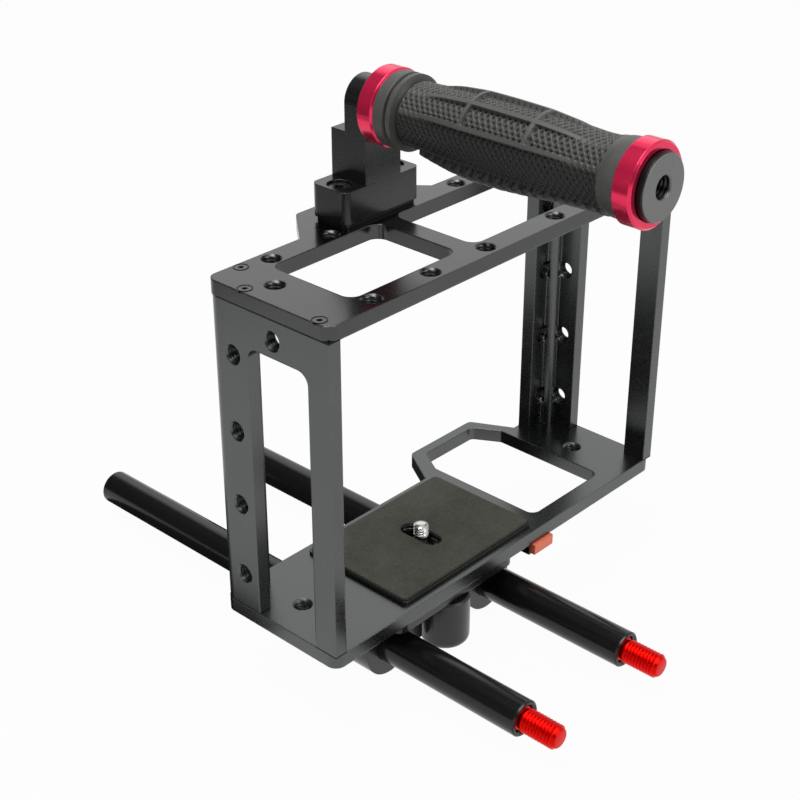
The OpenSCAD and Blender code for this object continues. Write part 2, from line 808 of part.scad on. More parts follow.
module side_window_cut() {
    r = side_window_r;
    x = -half - over;
    w = wall_t + 2 * over;
    translate([x, side_window_y0, base_t - over])
        cube([w, side_window_y1 - side_window_y0, side_window_top - r - base_t + over]);
    translate([x, side_window_y0 + r, base_t])
        cube([w, side_window_y1 - side_window_y0 - 2 * r, side_window_top - base_t]);
    for (y = [side_window_y0 + r, side_window_y1 - r])
        translate([x, y, side_window_top - r])
            rotate([0, 90, 0])
                cylinder(r = r, h = w);
}

module left_side_plate() {
    color("dimgray")
        side_plate();
}

module right_side_plate() {
    color("dimgray")
        mirror([1, 0, 0])
            side_plate();
}

module top_plate() {
    tongue_y = far_y + tongue_reach;
    tongue = round_path(
        [[tongue_x - tongue_foot_w / 2, 0], [tongue_x + tongue_foot_w / 2, 0],
            [tongue_x + tongue_foot_w / 2, far_y], [tongue_x + tongue_tip_w / 2, tongue_y],
            [tongue_x - tongue_tip_w / 2, tongue_y], [tongue_x - tongue_foot_w / 2, far_y]],
        [0, 0, 0, tongue_r, tongue_r, 0]);
    color("gray")
        difference() {
            translate([0, 0, side_top]) {
                round_slab(-half, near_y, half, far_y, top_corner_r, top_t);
                linear_extrude(top_t)
                    polygon(tongue);
            }
            translate([0, 0, side_top - over]) {
                top_window_cut(top_window_x0, top_window_x1);
                top_window_cut(top_window_x2, top_window_x3);
            }
            translate([0, 0, cage_top]) {
                for (x = near_row_shares * half)
                    translate([x, -top_row_y, 0])
                        tap_hole(top_t);
                for (x = far_row_shares * half)
                    translate([x, top_row_y, 0])
                        tap_hole(top_t);
                for (s = [-1, 1])
                    translate([s * end_tap_x, end_tap_y, 0])
                        tap_hole(top_t);
            }
            top_screw_rooms();
            for (s = [-1, 1])
                translate([handle_x + s * block_screw_x, block_mid_y, side_top - over])
                    cylinder(d = block_screw_d + 2 * thread_gap, h = top_t + 2 * over);
        }
}

module top_window_cut(x0, x1) {
    round_slab(x0, -top_window_d / 2, x1, top_window_d / 2, top_window_r, top_t + 2 * over);
}

module top_screws() {
    color("black")
        translate([0, 0, cage_top])
            at_screw_spots()
                plate_screw();
}

module base_screws() {
    color("black")
        mirror([0, 0, 1])
            at_screw_spots()
                plate_screw();
}

module pad_plate() {
    color("black")
        translate([pad_x, 0, base_t])
            difference() {
                round_slab(-pad_plate_w / 2, -pad_plate_d / 2, pad_plate_w / 2, pad_plate_d / 2,
                    pad_corner_r, pad_plate_t);
                translate([0, 0, -over])
                    slot_along_y(pad_slot_w, pad_slot_l, pad_plate_t + 2 * over);
            }
}

module camera_pad() {
    w = pad_plate_w / 2 - pad_step;
    d = pad_plate_d / 2 - pad_step;
    color("darkslategray")
        translate([pad_x, 0, rubber_z])
            difference() {
                round_slab(-w, -d, w, d, pad_corner_r, pad_t);
                translate([0, 0, -over])
                    slot_along_y(pad_slot_w, pad_slot_l, pad_t + 2 * over);
            }
}

module screw_carriage() {
    color("gray")
        translate([pad_x, 0, move_gap])
            difference() {
                round_slab(-carriage_w / 2, -carriage_w / 2, carriage_w / 2, carriage_w / 2,
                    pad_corner_r / 2, carriage_t);
                translate([0, 0, -over])
                    cylinder(d = cam_neck_d + 2 * run_gap, h = carriage_t + 2 * over);
            }
}

module camera_screw() {
    r = cam_screw_d / 2;
    color("silver")
        translate([pad_x, 0, 0])
            difference() {
                rotate_extrude()
                    polygon([
                        [0, -cam_head_h], [cam_head_d / 2, -cam_head_h], [cam_head_d / 2, 0],
                        [cam_neck_d / 2, 0], [cam_neck_d / 2, pad_top],
                        [r, pad_top], [r, cam_top - cam_screw_dome],
                        [r - cam_screw_dome / 2, cam_top - cam_screw_dome / 3],
                        [r / 2, cam_top], [0, cam_top]]);
                translate([0, 0, -cam_head_h - over])
                    cylinder(d = cam_socket_d, h = cam_socket_h + over, $fn = hex);
            }
}

// A lobe of the rod clamp round the axis at x.
module clamp_lobe(x) {
    translate([x, 0, rod_z - lobe_sink])
        bar_along_y(lobe_r, lobe_y0, lobe_y1);
    translate([x - lobe_r, lobe_y0, rod_z - lobe_sink])
        cube([2 * lobe_r, lobe_y1 - lobe_y0, rod_drop + lobe_sink]);
}

module clamp_pin_rooms() {
    for (s = [-1, 1])
        translate([rod_mid_x + s * clamp_pin_x, clamp_pin_y, clamp_pin_rise - clamp_pin_l - thread_gap])
            cylinder(d = clamp_pin_d + 2 * thread_gap, h = clamp_pin_l + 2 * thread_gap);
}

module rod_clamp() {
    color("black")
        difference() {
            union() {
                translate([0, 0, -clamp_flange_t])
                    round_slab(clamp_x0, clamp_flange_y0, clamp_x1, lobe_y1, clamp_flange_r, clamp_flange_t);
                clamp_lobe(rod_left_x);
                clamp_lobe(rod_right_x);
                translate([rod_left_x, bridge_y0, -bridge_drop])
                    cube([rod_pitch, lobe_y1 - bridge_y0, bridge_drop]);
                for (s = [-1, 1])
                    translate([rod_mid_x + s * (rod_pitch / 2 + knob_side) / 2 - shoulder_w / 2, lobe_y0, -bridge_drop])
                        cube([shoulder_w, bridge_y0 - lobe_y0 + over, bridge_drop]);
            }
            for (x = [rod_left_x, rod_right_x]) {
                translate([x, 0, rod_z])
                    bar_along_y(rod_r + run_gap, lobe_y0 - over, lobe_y1 + over);
                translate([x, set_screw_y(), lobe_bottom - over])
                    cylinder(d = set_screw_d + 2 * thread_gap, h = lobe_r + lobe_sink - rod_r + 2 * over);
            }
            translate([rod_mid_x, knob_y, -clamp_flange_t - over])
                cylinder(d = knob_thread_d + 2 * run_gap, h = clamp_flange_t + 2 * over);
            translate([pad_x, 0, -head_room_h])
                slot_along_y(head_room_w, head_room_l, head_room_h + over);
            translate([pad_x, 0, -bridge_drop - over])
                slot_along_y(key_slot_w, key_slot_l, bridge_drop + over);
            clamp_pin_rooms();
            latch_notch();
        }
}

function set_screw_y() = (lobe_y0 + lobe_y1) / 2;

// The notch in the right lobe: closed below where the tooth rests, open below where it is let go.
module latch_notch() {
    h = tooth_h + 2 * move_gap;
    w = clamp_side_x - tooth_x0 + move_gap + over;
    translate([tooth_x0 - move_gap, tooth_y0 - move_gap, latch_mid_z - h / 2])
        cube([w, notch_y1 - tooth_y0 + move_gap, h]);
    translate([tooth_x0 - move_gap, drop_y0, lobe_bottom])
        cube([w, notch_y1 - drop_y0, latch_mid_z - lobe_bottom]);
}

module clamp_pins() {
    color("silver")
        for (s = [-1, 1])
            translate([rod_mid_x + s * clamp_pin_x, clamp_pin_y, clamp_pin_rise - clamp_pin_l])
                cylinder(d = clamp_pin_d, h = clamp_pin_l);
}

module rod_set_screws() {
    color("black")
        for (x = [rod_left_x, rod_right_x])
            translate([x, set_screw_y(), set_screw_top - set_screw_l])
                difference() {
                    cylinder(d = set_screw_d, h = set_screw_l);
                    translate([0, 0, -over])
                        cylinder(d = set_socket_d, h = set_socket_h + over, $fn = hex);
                }
}

module clamp_knob() {
    r = knob_r;
    e = knob_round_h;
    color("black")
        translate([rod_mid_x, knob_y, knob_bottom])
            difference() {
                rotate_extrude()
                    polygon([
                        [0, 0], [r - e, 0], [r - e * knob_round_shares[0], e * knob_round_shares[1]],
                        [r - e * knob_round_shares[2], e * knob_round_shares[3]], [r, e],
                        [r, knob_h - e / 4], [r - e / 4, knob_h], [0, knob_h]]);
                translate([0, 0, knob_h - knob_stem_in])
                    cylinder(d = knob_thread_d + 2 * thread_gap, h = knob_stem_in + over);
            }
}

module knob_stem() {
    e = knob_stem_bevel;
    r = knob_thread_d / 2;
    color("silver")
        translate([rod_mid_x, knob_y, stem_bottom])
            rotate_extrude()
                polygon([[0, 0], [r, 0], [r, stem_top - stem_bottom - e], [r - e, stem_top - stem_bottom],
                    [0, stem_top - stem_bottom]]);
}

module guide_screw_rooms() {
    for (s = [-1, 1])
        translate([guide_mid_x + s * guide_screw_pitch / 2, guide_y1 - guide_block_d / 2, -guide_drop]) {
            translate([0, 0, -over])
                cylinder(d = guide_screw_d + 2 * thread_gap, h = guide_screw_l + over + thread_gap);
            translate([0, 0, -over])
                cylinder(d = guide_screw_head_d + 2 * thread_gap, h = guide_screw_head_h + over);
        }
}

module latch_guide() {
    color("black")
        difference() {
            translate([guide_x0, guide_y0, -guide_drop])
                cube([guide_x1 - guide_x0, guide_y1 - guide_y0, guide_drop]);
            translate([latch_stem_x0 - move_gap, guide_y0 - over, latch_mid_z - latch_stem_h / 2 - move_gap])
                cube([latch_stem_w + 2 * move_gap, guide_block_y0 - guide_y0 + over, guide_drop]);
            translate([guide_x0 - over, tooth_y0 - move_gap, latch_mid_z - tooth_h / 2 - move_gap])
                cube([latch_stem_x0 - guide_x0 + over, notch_y1 - tooth_y0 + move_gap, guide_drop]);
            guide_screw_rooms();
        }
}

module guide_screws() {
    color("silver")
        for (s = [-1, 1])
            translate([guide_mid_x + s * guide_screw_pitch / 2, guide_y1 - guide_block_d / 2, -guide_drop]) {
                cylinder(d = guide_screw_d, h = guide_screw_l);
                cylinder(d = guide_screw_head_d, h = guide_screw_head_h);
            }
}

module latch_slide() {
    color("black") {
        translate([latch_x0, latch_front_y0, latch_z1 - latch_h])
            cube([latch_x1 - latch_x0, latch_front_d, latch_h]);
        translate([latch_stem_x0, latch_front_y1, latch_mid_z - latch_stem_h / 2])
            cube([latch_stem_w, latch_stem_y1 - latch_front_y1, latch_stem_h]);
        translate([tooth_x0, tooth_y0, latch_mid_z - tooth_h / 2])
            cube([latch_stem_x0 - tooth_x0, tooth_d, tooth_h]);
    }
}

module latch_cap() {
    color("red")
        translate([latch_x0, latch_cap_y0, latch_z1 - latch_cap_h])
            cube([latch_x1 - latch_x0, latch_cap_d, latch_cap_h]);
}

module latch_spring() {
    step = (spring_l - spring_wire_d) / (spring_rings - 1);
    color("silver")
        translate([latch_mid_x, latch_stem_y1 + spring_wire_d / 2, latch_mid_z])
            rotate([-90, 0, 0]) {
                for (i = [0 : spring_rings - 1])
                    translate([0, 0, i * step])
                        rotate_extrude()
                            translate([spring_mid_r, 0])
                                circle(d = spring_wire_d);
                translate([spring_mid_r, 0, 0])
                    cylinder(d = spring_link_d, h = spring_l - spring_wire_d);
            }
}

// A support rod with a threaded bore at each end.
module rod(l) {
    color("black")
        rotate([-90, 0, 0])
            difference() {
                union() {
                    translate([0, 0, rod_edge])
                        cylinder(r = rod_r, h = l - 2 * rod_edge);
                    cylinder(r1 = rod_r - rod_edge, r2 = rod_r, h = rod_edge);
                    translate([0, 0, l - rod_edge])
                        cylinder(r1 = rod_r, r2 = rod_r - rod_edge, h = rod_edge);
                }
                rod_bore();
                translate([0, 0, l])
                    mirror([0, 0, 1])
                        rod_bore();
            }
}

module rod_bore() {
    slope = (rod_bevel_d - rod_mouth_d) / rod_bevel_h;
    translate([0, 0, -over])
        cylinder(d = stud_d + 2 * run_gap, h = rod_thread_h + over);
    translate([0, 0, -over])
        cylinder(d = rod_mouth_d, h = rod_mouth_h + over);
    translate([0, 0, -over])
        cylinder(d1 = rod_bevel_d + slope * over, d2 = rod_mouth_d, h = rod_bevel_h + over);
}

module rod_left() {
    translate([rod_left_x, rod_left_y0, rod_z])
        rod(rod_left_l);
}

module rod_right() {
    translate([rod_right_x, rod_right_y0, rod_z])
        rod(rod_right_l);
}

// A threaded stud, from inside the rod to its tapered tip outside.
module stud() {
    color("red") {
        bar_along_y(stud_d / 2, -stud_out_l + stud_tip_h, -stud_groove_w / 2);
        bar_along_y(stud_groove_d / 2, -stud_out_l / 2, stud_in_l / 2);
        bar_along_y(stud_d / 2, stud_groove_w / 2, stud_in_l);
        cone_along_y(stud_tip_d / 2, stud_d / 2, -stud_out_l, -stud_out_l + stud_tip_h);
    }
}

module stud_left() {
    translate([rod_left_x, rod_left_y0, rod_z])
        stud();
}

module stud_right() {
    translate([rod_right_x, rod_right_y0, rod_z])
        stud();
}

module handle_clamp() {
    w = block_w / 2;
    f = w - foot_in;
    color("black")
        difference() {
            translate([handle_x, 0, cage_top]) {
                round_slab(-f, block_y0 + foot_in, f, block_y0 + block_d - foot_in, block_r - foot_in, foot_h);
                translate([0, 0, foot_h])
                    round_slab(-w, block_y0, w, block_y0 + block_d, block_r, block_h - foot_h);
            }
            for (s = [-1, 1])
                translate([handle_x + s * block_screw_x, block_mid_y, 0]) {
                    translate([0, 0, cage_top - over])
                        cylinder(d = block_screw_d + 2 * thread_gap, h = block_h + 2 * over);
                    translate([0, 0, block_top - block_bore_h])
                        cylinder(d = block_bore_d, h = block_bore_h + over);
                }
            post_screw_room();
        }
}

module clamp_screws() {
    seat = block_top - block_bore_h;
    color("black")
        for (s = [-1, 1])
            translate([handle_x + s * block_screw_x, block_mid_y, 0])
                difference() {
                    union() {
                        translate([0, 0, seat])
                            cylinder(d = block_head_d, h = block_head_h);
                        translate([0, 0, side_top])
                            cylinder(d = block_screw_d, h = seat - side_top);
                    }
                    translate([0, 0, seat + block_head_h - block_socket_h])
                        cylinder(d = block_socket_d, h = block_socket_h + over, $fn = hex);
                }
}

module handle_post() {
    color("black")
        difference() {
            union() {
                translate([handle_x - post_w / 2, block_y0, block_top])
                    cube([post_w, post_d, post_shoulder_h]);
                translate([handle_x - post_w / 2, block_y0, shoulder_z])
                    cube([post_w, lug_d, handle_z - shoulder_z]);
                translate([handle_x, 0, handle_z])
                    bar_along_y(post_w / 2, block_y0, block_y0 + lug_d);
            }
            translate([handle_x, 0, handle_z]) {
                bar_along_y(bolt_d / 2 + thread_gap, block_y0 - over, block_y0 + lug_d + over);
                bar_along_y(bolt_head_d / 2 + thread_gap, bolt_shank_y1, block_y0 + lug_d + over);
            }
            post_screw_room();
        }
}

module post_screw_room() {
    translate([handle_x, block_mid_y, cage_top]) {
        translate([0, 0, -over])
            cylinder(d = post_screw_d + 2 * thread_gap, h = post_screw_l + over + thread_gap);
        translate([0, 0, -over])
            cylinder(d = post_head_d + 2 * thread_gap, h = post_head_h + over);
    }
}

module post_screw() {
    color("silver")
        translate([handle_x, block_mid_y, cage_top]) {
            cylinder(d = post_screw_d, h = post_screw_l);
            cylinder(d = post_head_d, h = post_head_h);
        }
}

module handle_bar() {
    color("silver")
        translate([handle_x, 0, handle_z])
            difference() {
                bar_along_y(bar_r, bar_y0, bar_y1);
                bar_along_y(bolt_d / 2 + thread_gap, bolt_shank_y1 - bolt_l - over, bar_y1 + over);
                bar_along_y(cap_spigot_d / 2 + thread_gap, bar_y0 - over, bar_y0 + cap_spigot_l + over);
            }
}

module handle_bolt() {
    color("black")
        translate([handle_x, 0, handle_z])
            difference() {
                union() {
                    bar_along_y(bolt_d / 2, bolt_shank_y1 - bolt_l, bolt_shank_y1);
                    bar_along_y(bolt_head_d / 2, bolt_shank_y1, bolt_y1);
                }
                translate([0, bolt_y1 - bolt_socket_h, 0])
                    rotate([-90, 0, 0])
                        cylinder(d = bolt_socket_d, h = bolt_socket_h + over, $fn = hex);
            }
}

// A part of a turned profile round the handle, of the given span about an angle from straight up.
module grip_sector(angle, span, points) {
    rotate([0, 0, -90 + angle - span / 2])
        rotate_extrude(angle = span)
            polygon(concat(
                [[rib_root_r, points[0][1]]], points,
                [[rib_root_r, points[len(points) - 1][1]]]));
}

module grip() {
    w = cross_rib_w / 2;
    cross_span = max(rib_angles) - min(rib_angles);
    color("black")
        translate([handle_x, grip_y0, handle_z])
            rotate([-90, 0, 0]) {
                rotate_extrude()
                    polygon(concat([[bar_r + run_gap, 0]], grip_points, [[bar_r + run_gap, grip_l]]));
                for (a = rib_angles)
                    grip_sector(a, rib_span, rib_points);
                for (at = cross_rib_shares * grip_l)
                    grip_sector(min(rib_angles) + cross_span / 2, cross_span,
                        [[cross_rib_r, at - w], [cross_rib_r, at + w]]);
                grip_sector(belly_angle, belly_span, belly_points);
            }
}

// A lock ring along Y from y0 to y1.
module lock_ring(r, y0, y1) {
    e = ring_edge;
    bar_along_y(r, y0 + e, y1 - e);
    cone_along_y(r - e, r, y0, y0 + e);
    cone_along_y(r, r - e, y1 - e, y1);
}

module ring_screw_room(y0, y1) {
    translate([0, (y0 + y1) / 2, -ring_near_r - ring_far_r])
        cylinder(d = ring_screw_d + 2 * thread_gap, h = ring_near_r + ring_far_r);
}

module ring_far() {
    color("crimson")
        translate([handle_x, 0, handle_z])
            difference() {
                lock_ring(ring_far_r, ring_far_y0, ring_far_y1);
                bar_along_y(bar_r + run_gap, ring_far_y0 - over, ring_far_y1 + over);
                ring_screw_room(ring_far_y0, ring_far_y1);
            }
}

module ring_near() {
    color("crimson")
        translate([handle_x, 0, handle_z])
            difference() {
                lock_ring(ring_near_r, ring_near_y0, ring_near_y1);
                bar_along_y(bar_r + run_gap, ring_near_y0 - over, ring_near_y1 + over);
                bar_along_y(cap_r + move_gap, ring_near_y0 - over, ring_recess_y1);
                ring_screw_room(ring_recess_y1, ring_near_y1);
            }
}

module ring_screws() {
    top = -bar_r - move_gap;
    color("silver")
        translate([handle_x, 0, handle_z])
            for (y = [(ring_far_y0 + ring_far_y1) / 2, (ring_recess_y1 + ring_near_y1) / 2])
                translate([0, y, top - ring_screw_l])
                    difference() {
                        cylinder(d = ring_screw_d, h = ring_screw_l);
                        translate([0, 0, -over])
                            cylinder(d = ring_screw_d / 2, h = ring_screw_l / 2 + over, $fn = hex);
                    }
}

module end_cap() {
    e = cap_hole_bevel;
    r = cap_hole_d / 2;
    color("dimgray")
        translate([handle_x, 0, handle_z])
            difference() {
                union() {
                    bar_along_y(cap_r, cap_y0 + e, bar_y0);
                    cone_along_y(cap_r - e, cap_r, cap_y0, cap_y0 + e);
                    bar_along_y(cap_spigot_d / 2, bar_y0, bar_y0 + cap_spigot_l);
                }
                bar_along_y(r, cap_y0 - over, cap_y0 + cap_hole_h);
                cone_along_y(r + e + over, r, cap_y0 - over, cap_y0 + e);
            }
}

base_plate();
left_side_plate();
right_side_plate();
top_plate();
top_screws();
base_screws();
pad_plate();
camera_pad();
screw_carriage();
camera_screw();
rod_clamp();
clamp_pins();
rod_set_screws();
clamp_knob();
knob_stem();
latch_guide();
guide_screws();
latch_slide();
latch_cap();
latch_spring();
rod_left();
rod_right();
stud_left();
stud_right();
handle_clamp();
clamp_screws();
handle_post();
post_screw();
handle_bar();
handle_bolt();
grip();
ring_far();
ring_near();
ring_screws();
end_cap();
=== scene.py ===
# Looks of the camera cage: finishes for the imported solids, and detailed pieces for the rubber grip,
# the threads, the latch's spring and the seams. Lengths are in millimetres, except for the studio,
# which is in metres. Angles are in degrees and colours in linear light.
import bpy
import json
import math
import numpy as np
from mathutils import Vector, Matrix


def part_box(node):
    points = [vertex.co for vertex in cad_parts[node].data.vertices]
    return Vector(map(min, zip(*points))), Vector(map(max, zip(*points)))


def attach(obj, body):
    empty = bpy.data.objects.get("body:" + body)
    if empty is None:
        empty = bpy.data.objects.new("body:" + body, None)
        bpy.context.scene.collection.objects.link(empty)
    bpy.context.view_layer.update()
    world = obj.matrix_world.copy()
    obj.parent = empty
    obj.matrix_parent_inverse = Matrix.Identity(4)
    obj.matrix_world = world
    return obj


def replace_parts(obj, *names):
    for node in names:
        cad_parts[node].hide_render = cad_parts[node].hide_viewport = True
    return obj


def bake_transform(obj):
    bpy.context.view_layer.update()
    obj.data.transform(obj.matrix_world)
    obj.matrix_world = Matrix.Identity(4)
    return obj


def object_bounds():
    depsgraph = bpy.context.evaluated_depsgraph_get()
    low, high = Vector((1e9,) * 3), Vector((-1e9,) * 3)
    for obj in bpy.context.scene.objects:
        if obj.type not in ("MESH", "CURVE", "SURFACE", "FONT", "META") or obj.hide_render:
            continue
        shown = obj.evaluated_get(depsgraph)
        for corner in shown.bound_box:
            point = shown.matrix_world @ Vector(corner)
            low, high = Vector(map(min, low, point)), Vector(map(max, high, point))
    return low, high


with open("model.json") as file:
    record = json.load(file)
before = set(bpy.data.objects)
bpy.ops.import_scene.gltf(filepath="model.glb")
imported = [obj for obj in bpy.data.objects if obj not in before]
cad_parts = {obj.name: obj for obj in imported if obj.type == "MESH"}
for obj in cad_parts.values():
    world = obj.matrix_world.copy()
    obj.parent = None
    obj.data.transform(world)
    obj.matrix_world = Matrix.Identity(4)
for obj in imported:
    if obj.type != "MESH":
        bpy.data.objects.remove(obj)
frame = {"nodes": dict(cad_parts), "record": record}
cad_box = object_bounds()
nodes = frame["nodes"]
mounts = {mount["name"]: mount for mount in frame["record"]["mounts"]}
scene = bpy.context.scene
MM = 0.001
FULL_TURN = 2 * math.pi


# Places in the frame
def box_of(node):
    """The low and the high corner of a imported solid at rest, to the nearest thousandth."""
    return [np.round(np.array(corner) / MM, 3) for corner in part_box(node)]


def along(axis, place):
    """Matrix that takes +Z to the axis and the origin to the place, which is in metres."""
    turn = Vector((0, 0, 1)).rotation_difference(Vector(axis))
    return Matrix.Translation(Vector(place)) @ turn.to_matrix().to_4x4()


# Curves
BLUR_REACH = 3


def smooth_step(t):
    """0 below 0, 1 above 1, and an even slope between."""
    t = np.clip(t, 0.0, 1.0)
    return t * t * (3 - 2 * t)


def triangle_wave(t):
    """Wave of period 1 that goes in straight lines from 0 up to 1 and back."""
    return 1 - np.abs(2 * np.mod(t, 1.0) - 1)


def bell(offset, width, power=2):
    """1 at offset 0 and fading on both sides. A power above 2 gives it a flat top."""
    return np.exp(-(offset / width) ** power)


def between(low, high, share):
    """The value that lies the given share of the way from low to high."""
    return low + (high - low) * share


def blur(values, width):
    """Values on an even grid, smoothed with a bell of the given width in samples."""
    reach = int(width * BLUR_REACH) + 1
    weights = np.exp(-0.5 * (np.arange(-reach, reach + 1) / width) ** 2)
    padded = np.concatenate([np.full(reach, values[0]), values, np.full(reach, values[-1])])
    return np.convolve(padded, weights / weights.sum(), "valid")


def round_angles(count):
    """Even steps once round, in radians."""
    return np.linspace(0, FULL_TURN, count, endpoint=False)


# Meshes
JOINED_SHARP = 35


def shaded(mesh, sharp):
    """The mesh with smooth shading, and crisp edges where faces meet at more than the given angle."""
    mesh.validate()
    mesh.shade_smooth()
    mesh.set_sharp_from_angle(angle=math.radians(sharp))
    return mesh


def ring_mesh(name, points, sharp):
    """A skin over a stack of rings. points[i][j] is point j of ring i, and the last ring joins the first."""
    points = np.asarray(points, float)
    rings, count = points.shape[:2]
    ring, spot = np.arange(rings)[:, None], np.arange(count)[None, :]
    next_ring, next_spot = (ring + 1) % rings, (spot + 1) % count
    corners = [ring * count + spot, ring * count + next_spot,
               next_ring * count + next_spot, next_ring * count + spot]
    mesh = bpy.data.meshes.new(name)
    mesh.from_pydata((points * MM).reshape(-1, 3).tolist(), [], np.stack(corners, -1).reshape(-1, 4).tolist())
    return shaded(mesh, sharp)


def join(name, pieces):
    """One mesh of several, each given as (mesh, matrix)."""
    points, faces = [], []
    for mesh, matrix in pieces:
        base = len(points)
        points += [matrix @ vertex.co for vertex in mesh.vertices]
        faces += [[base + index for index in face.vertices] for face in mesh.polygons]
    joined = bpy.data.meshes.new(name)
    joined.from_pydata(points, [], faces)
    return shaded(joined, JOINED_SHARP)


def add_object(name, mesh, finish, body):
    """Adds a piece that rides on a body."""
    piece = bpy.data.objects.new(name, mesh)
    scene.collection.objects.link(piece)
    mesh.materials.append(finish)
    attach(piece, body)
    return piece


# Shader nodes
def empty_tree(owner):
    """The node tree of a material or a world, with nothing in it."""
    owner.use_nodes = True
    owner.node_tree.nodes.clear()
    return owner.node_tree


def add_node(tree, kind, inputs, **settings):
    """A new node with its settings. Each input is linked, if a socket is given for it, or set."""
    node = tree.nodes.new(kind)
    for name, value in settings.items():
        setattr(node, name, value)
    for name, value in inputs.items():
        if isinstance(value, bpy.types.NodeSocket):
            tree.links.new(value, node.inputs[name])
        else:
            node.inputs[name].default_value = value
    return node


def math_node(tree, operation, *values):
    """The result of a sum on sockets or numbers."""
    return add_node(tree, "ShaderNodeMath", dict(enumerate(values)), operation=operation).outputs[0]


def vector_node(tree, operation, *values):
    return add_node(tree, "ShaderNodeVectorMath", dict(enumerate(values)), operation=operation)


def map_range(tree, value, source, target):
    """The value, taken from the source span to the target span and held inside it."""
    spans = {"From Min": source[0], "From Max": source[1], "To Min": target[0], "To Max": target[1]}
    return add_node(tree, "ShaderNodeMapRange", {"Value": value, **spans}).outputs[0]


def mix_colors(tree, factor, first, second):
    """The colour that goes from the first to the second, each given as a socket or as a colour."""
    inputs = {"Factor": factor, "A": first, "B": second}
    return add_node(tree, "ShaderNodeMix", inputs, data_type="RGBA").outputs["Result"]


def opaque(color):
    return (*color, 1)


# Finishes
NOISE_SPAN = (0.3, 0.7)
NOISE_SHARE = 0.5
PATCH_DETAIL = 4.0
GRAIN_DETAIL = 3.0
GRAIN_ROUGHNESS = 0.6
LEAST_ROUGH, MOST_ROUGH = 0.02, 1.0
EDGE_SAMPLES = 4
EDGE_COSINES = (0.995, 0.9)
# Painted shade black outside a face's radius, and the width over which it fades in.
SHADE_EDGE_FADE = 0.1
SHADE_BLACK = (0.008, 0.008, 0.008)


def mottled(tree, place, patches, grain_scale):
    """Slow patches mixed with a fine grain, and the grain alone."""
    slow = add_node(tree, "ShaderNodeTexNoise", {
        "Vector": place, "Scale": patches[0], "Detail": PATCH_DETAIL, "Roughness": patches[1]})
    fine = add_node(tree, "ShaderNodeTexNoise", {
        "Vector": place, "Scale": grain_scale, "Detail": GRAIN_DETAIL, "Roughness": GRAIN_ROUGHNESS})
    slow_part = math_node(tree, "MULTIPLY", slow.outputs["Fac"], NOISE_SHARE)
    return math_node(tree, "MULTIPLY_ADD", fine.outputs["Fac"], NOISE_SHARE, slow_part), fine.outputs["Fac"]


def toned(tree, noise, color, tone):
    """The colour, darker by the tone where the noise is low and lighter by it where the noise is high."""
    ramp = add_node(tree, "ShaderNodeValToRGB", {"Fac": noise})
    for stop, position, level in zip(ramp.color_ramp.elements, NOISE_SPAN, (1 - tone, 1 + tone)):
        stop.position = position
        stop.color = opaque(np.clip(np.array(color, float) * level, 0, 1))
    return ramp.outputs["Color"]


def shade_outside(tree, place, color, axis_x, axis_z, r):
    """The colour inside a radius round an axis along Y, and painted shade black farther out."""
    flat = vector_node(tree, "MULTIPLY_ADD", place, (1, 0, 1), (-axis_x * MM, 0, -axis_z * MM))
    reach = vector_node(tree, "LENGTH", flat.outputs["Vector"]).outputs["Value"]
    outside = map_range(tree, reach, ((r - SHADE_EDGE_FADE) * MM, (r + SHADE_EDGE_FADE) * MM), (0, 1))
    return mix_colors(tree, outside, color, opaque(SHADE_BLACK))


def worn_and_highlit_edges(tree, rounded, color, wear_and_highlight, edge_color):
    """The colour, with the edge colour where the rounded normal departs from the face's own: partly wear,
    partly a painted edge highlight.
    """
    normal = add_node(tree, "ShaderNodeNewGeometry", {}).outputs["Normal"]
    flatness = vector_node(tree, "DOT_PRODUCT", rounded, normal).outputs["Value"]
    return mix_colors(tree, map_range(tree, flatness, EDGE_COSINES, (0, wear_and_highlight)), color, opaque(edge_color))


def material(name, color, rough, metallic=0.0, specular=0.5, tone=0.12, grain=(900.0, 0.04), rough_tone=0.08,
             edge=0.0, edge_color=None, round_edges=0.3, sheen=0.0, bump=0.02, patches=(28.0, 0.5), painted_shade_color=None,
             shaded_outside=None):
    """A finish with colour and roughness that vary slowly and finely, a fine bump and softened edges that are
    lighter, partly as wear and partly as painted highlight.

    grain is (scale, depth), patches (scale, roughness) and shaded_outside (axis x, axis z, radius).
    """
    finish = bpy.data.materials.new(name)
    tree = empty_tree(finish)
    place = add_node(tree, "ShaderNodeTexCoord", {}).outputs["Object"]
    grain_scale, grain_depth = grain
    noise, fine = mottled(tree, place, patches, grain_scale)
    base = toned(tree, noise, color, tone)
    if painted_shade_color:
        # The attribute from the mesh holds painted lightness: where it is low the colour goes to a near-black
        # painted shade, at 1 it stays as it is
        painted_lightness = add_node(tree, "ShaderNodeAttribute", {}, attribute_name="painted_lightness").outputs["Fac"]
        base = mix_colors(tree, painted_lightness, opaque(painted_shade_color), base)
    # Painted shade: black outside the given radius round the axis.
    if shaded_outside:
        base = shade_outside(tree, place, base, *shaded_outside)
    relief = {"Strength": bump, "Distance": grain_depth * MM, "Height": fine}
    if round_edges:
        bevel = add_node(tree, "ShaderNodeBevel", {"Radius": round_edges * MM}, samples=EDGE_SAMPLES)
        rounded = relief["Normal"] = bevel.outputs[0]
        if edge:
            base = worn_and_highlit_edges(tree, rounded, base, edge, edge_color)
    rough_span = (max(rough - rough_tone, LEAST_ROUGH), min(rough + rough_tone, MOST_ROUGH))
    surface = add_node(tree, "ShaderNodeBsdfPrincipled", {
        "Base Color": base, "Metallic": metallic, "Specular IOR Level": specular, "Sheen Weight": sheen,
        "Roughness": map_range(tree, noise, NOISE_SPAN, rough_span),
        "Normal": add_node(tree, "ShaderNodeBump", relief).outputs[0]})
    add_node(tree, "ShaderNodeOutputMaterial", {"Surface": surface.outputs[0]})
    return finish


grip_axis_x, grip_axis_z = (mounts["end_cap_thread"]["pos_m"][k] / MM for k in (0, 2))
CAP_FACE_R = 11.7

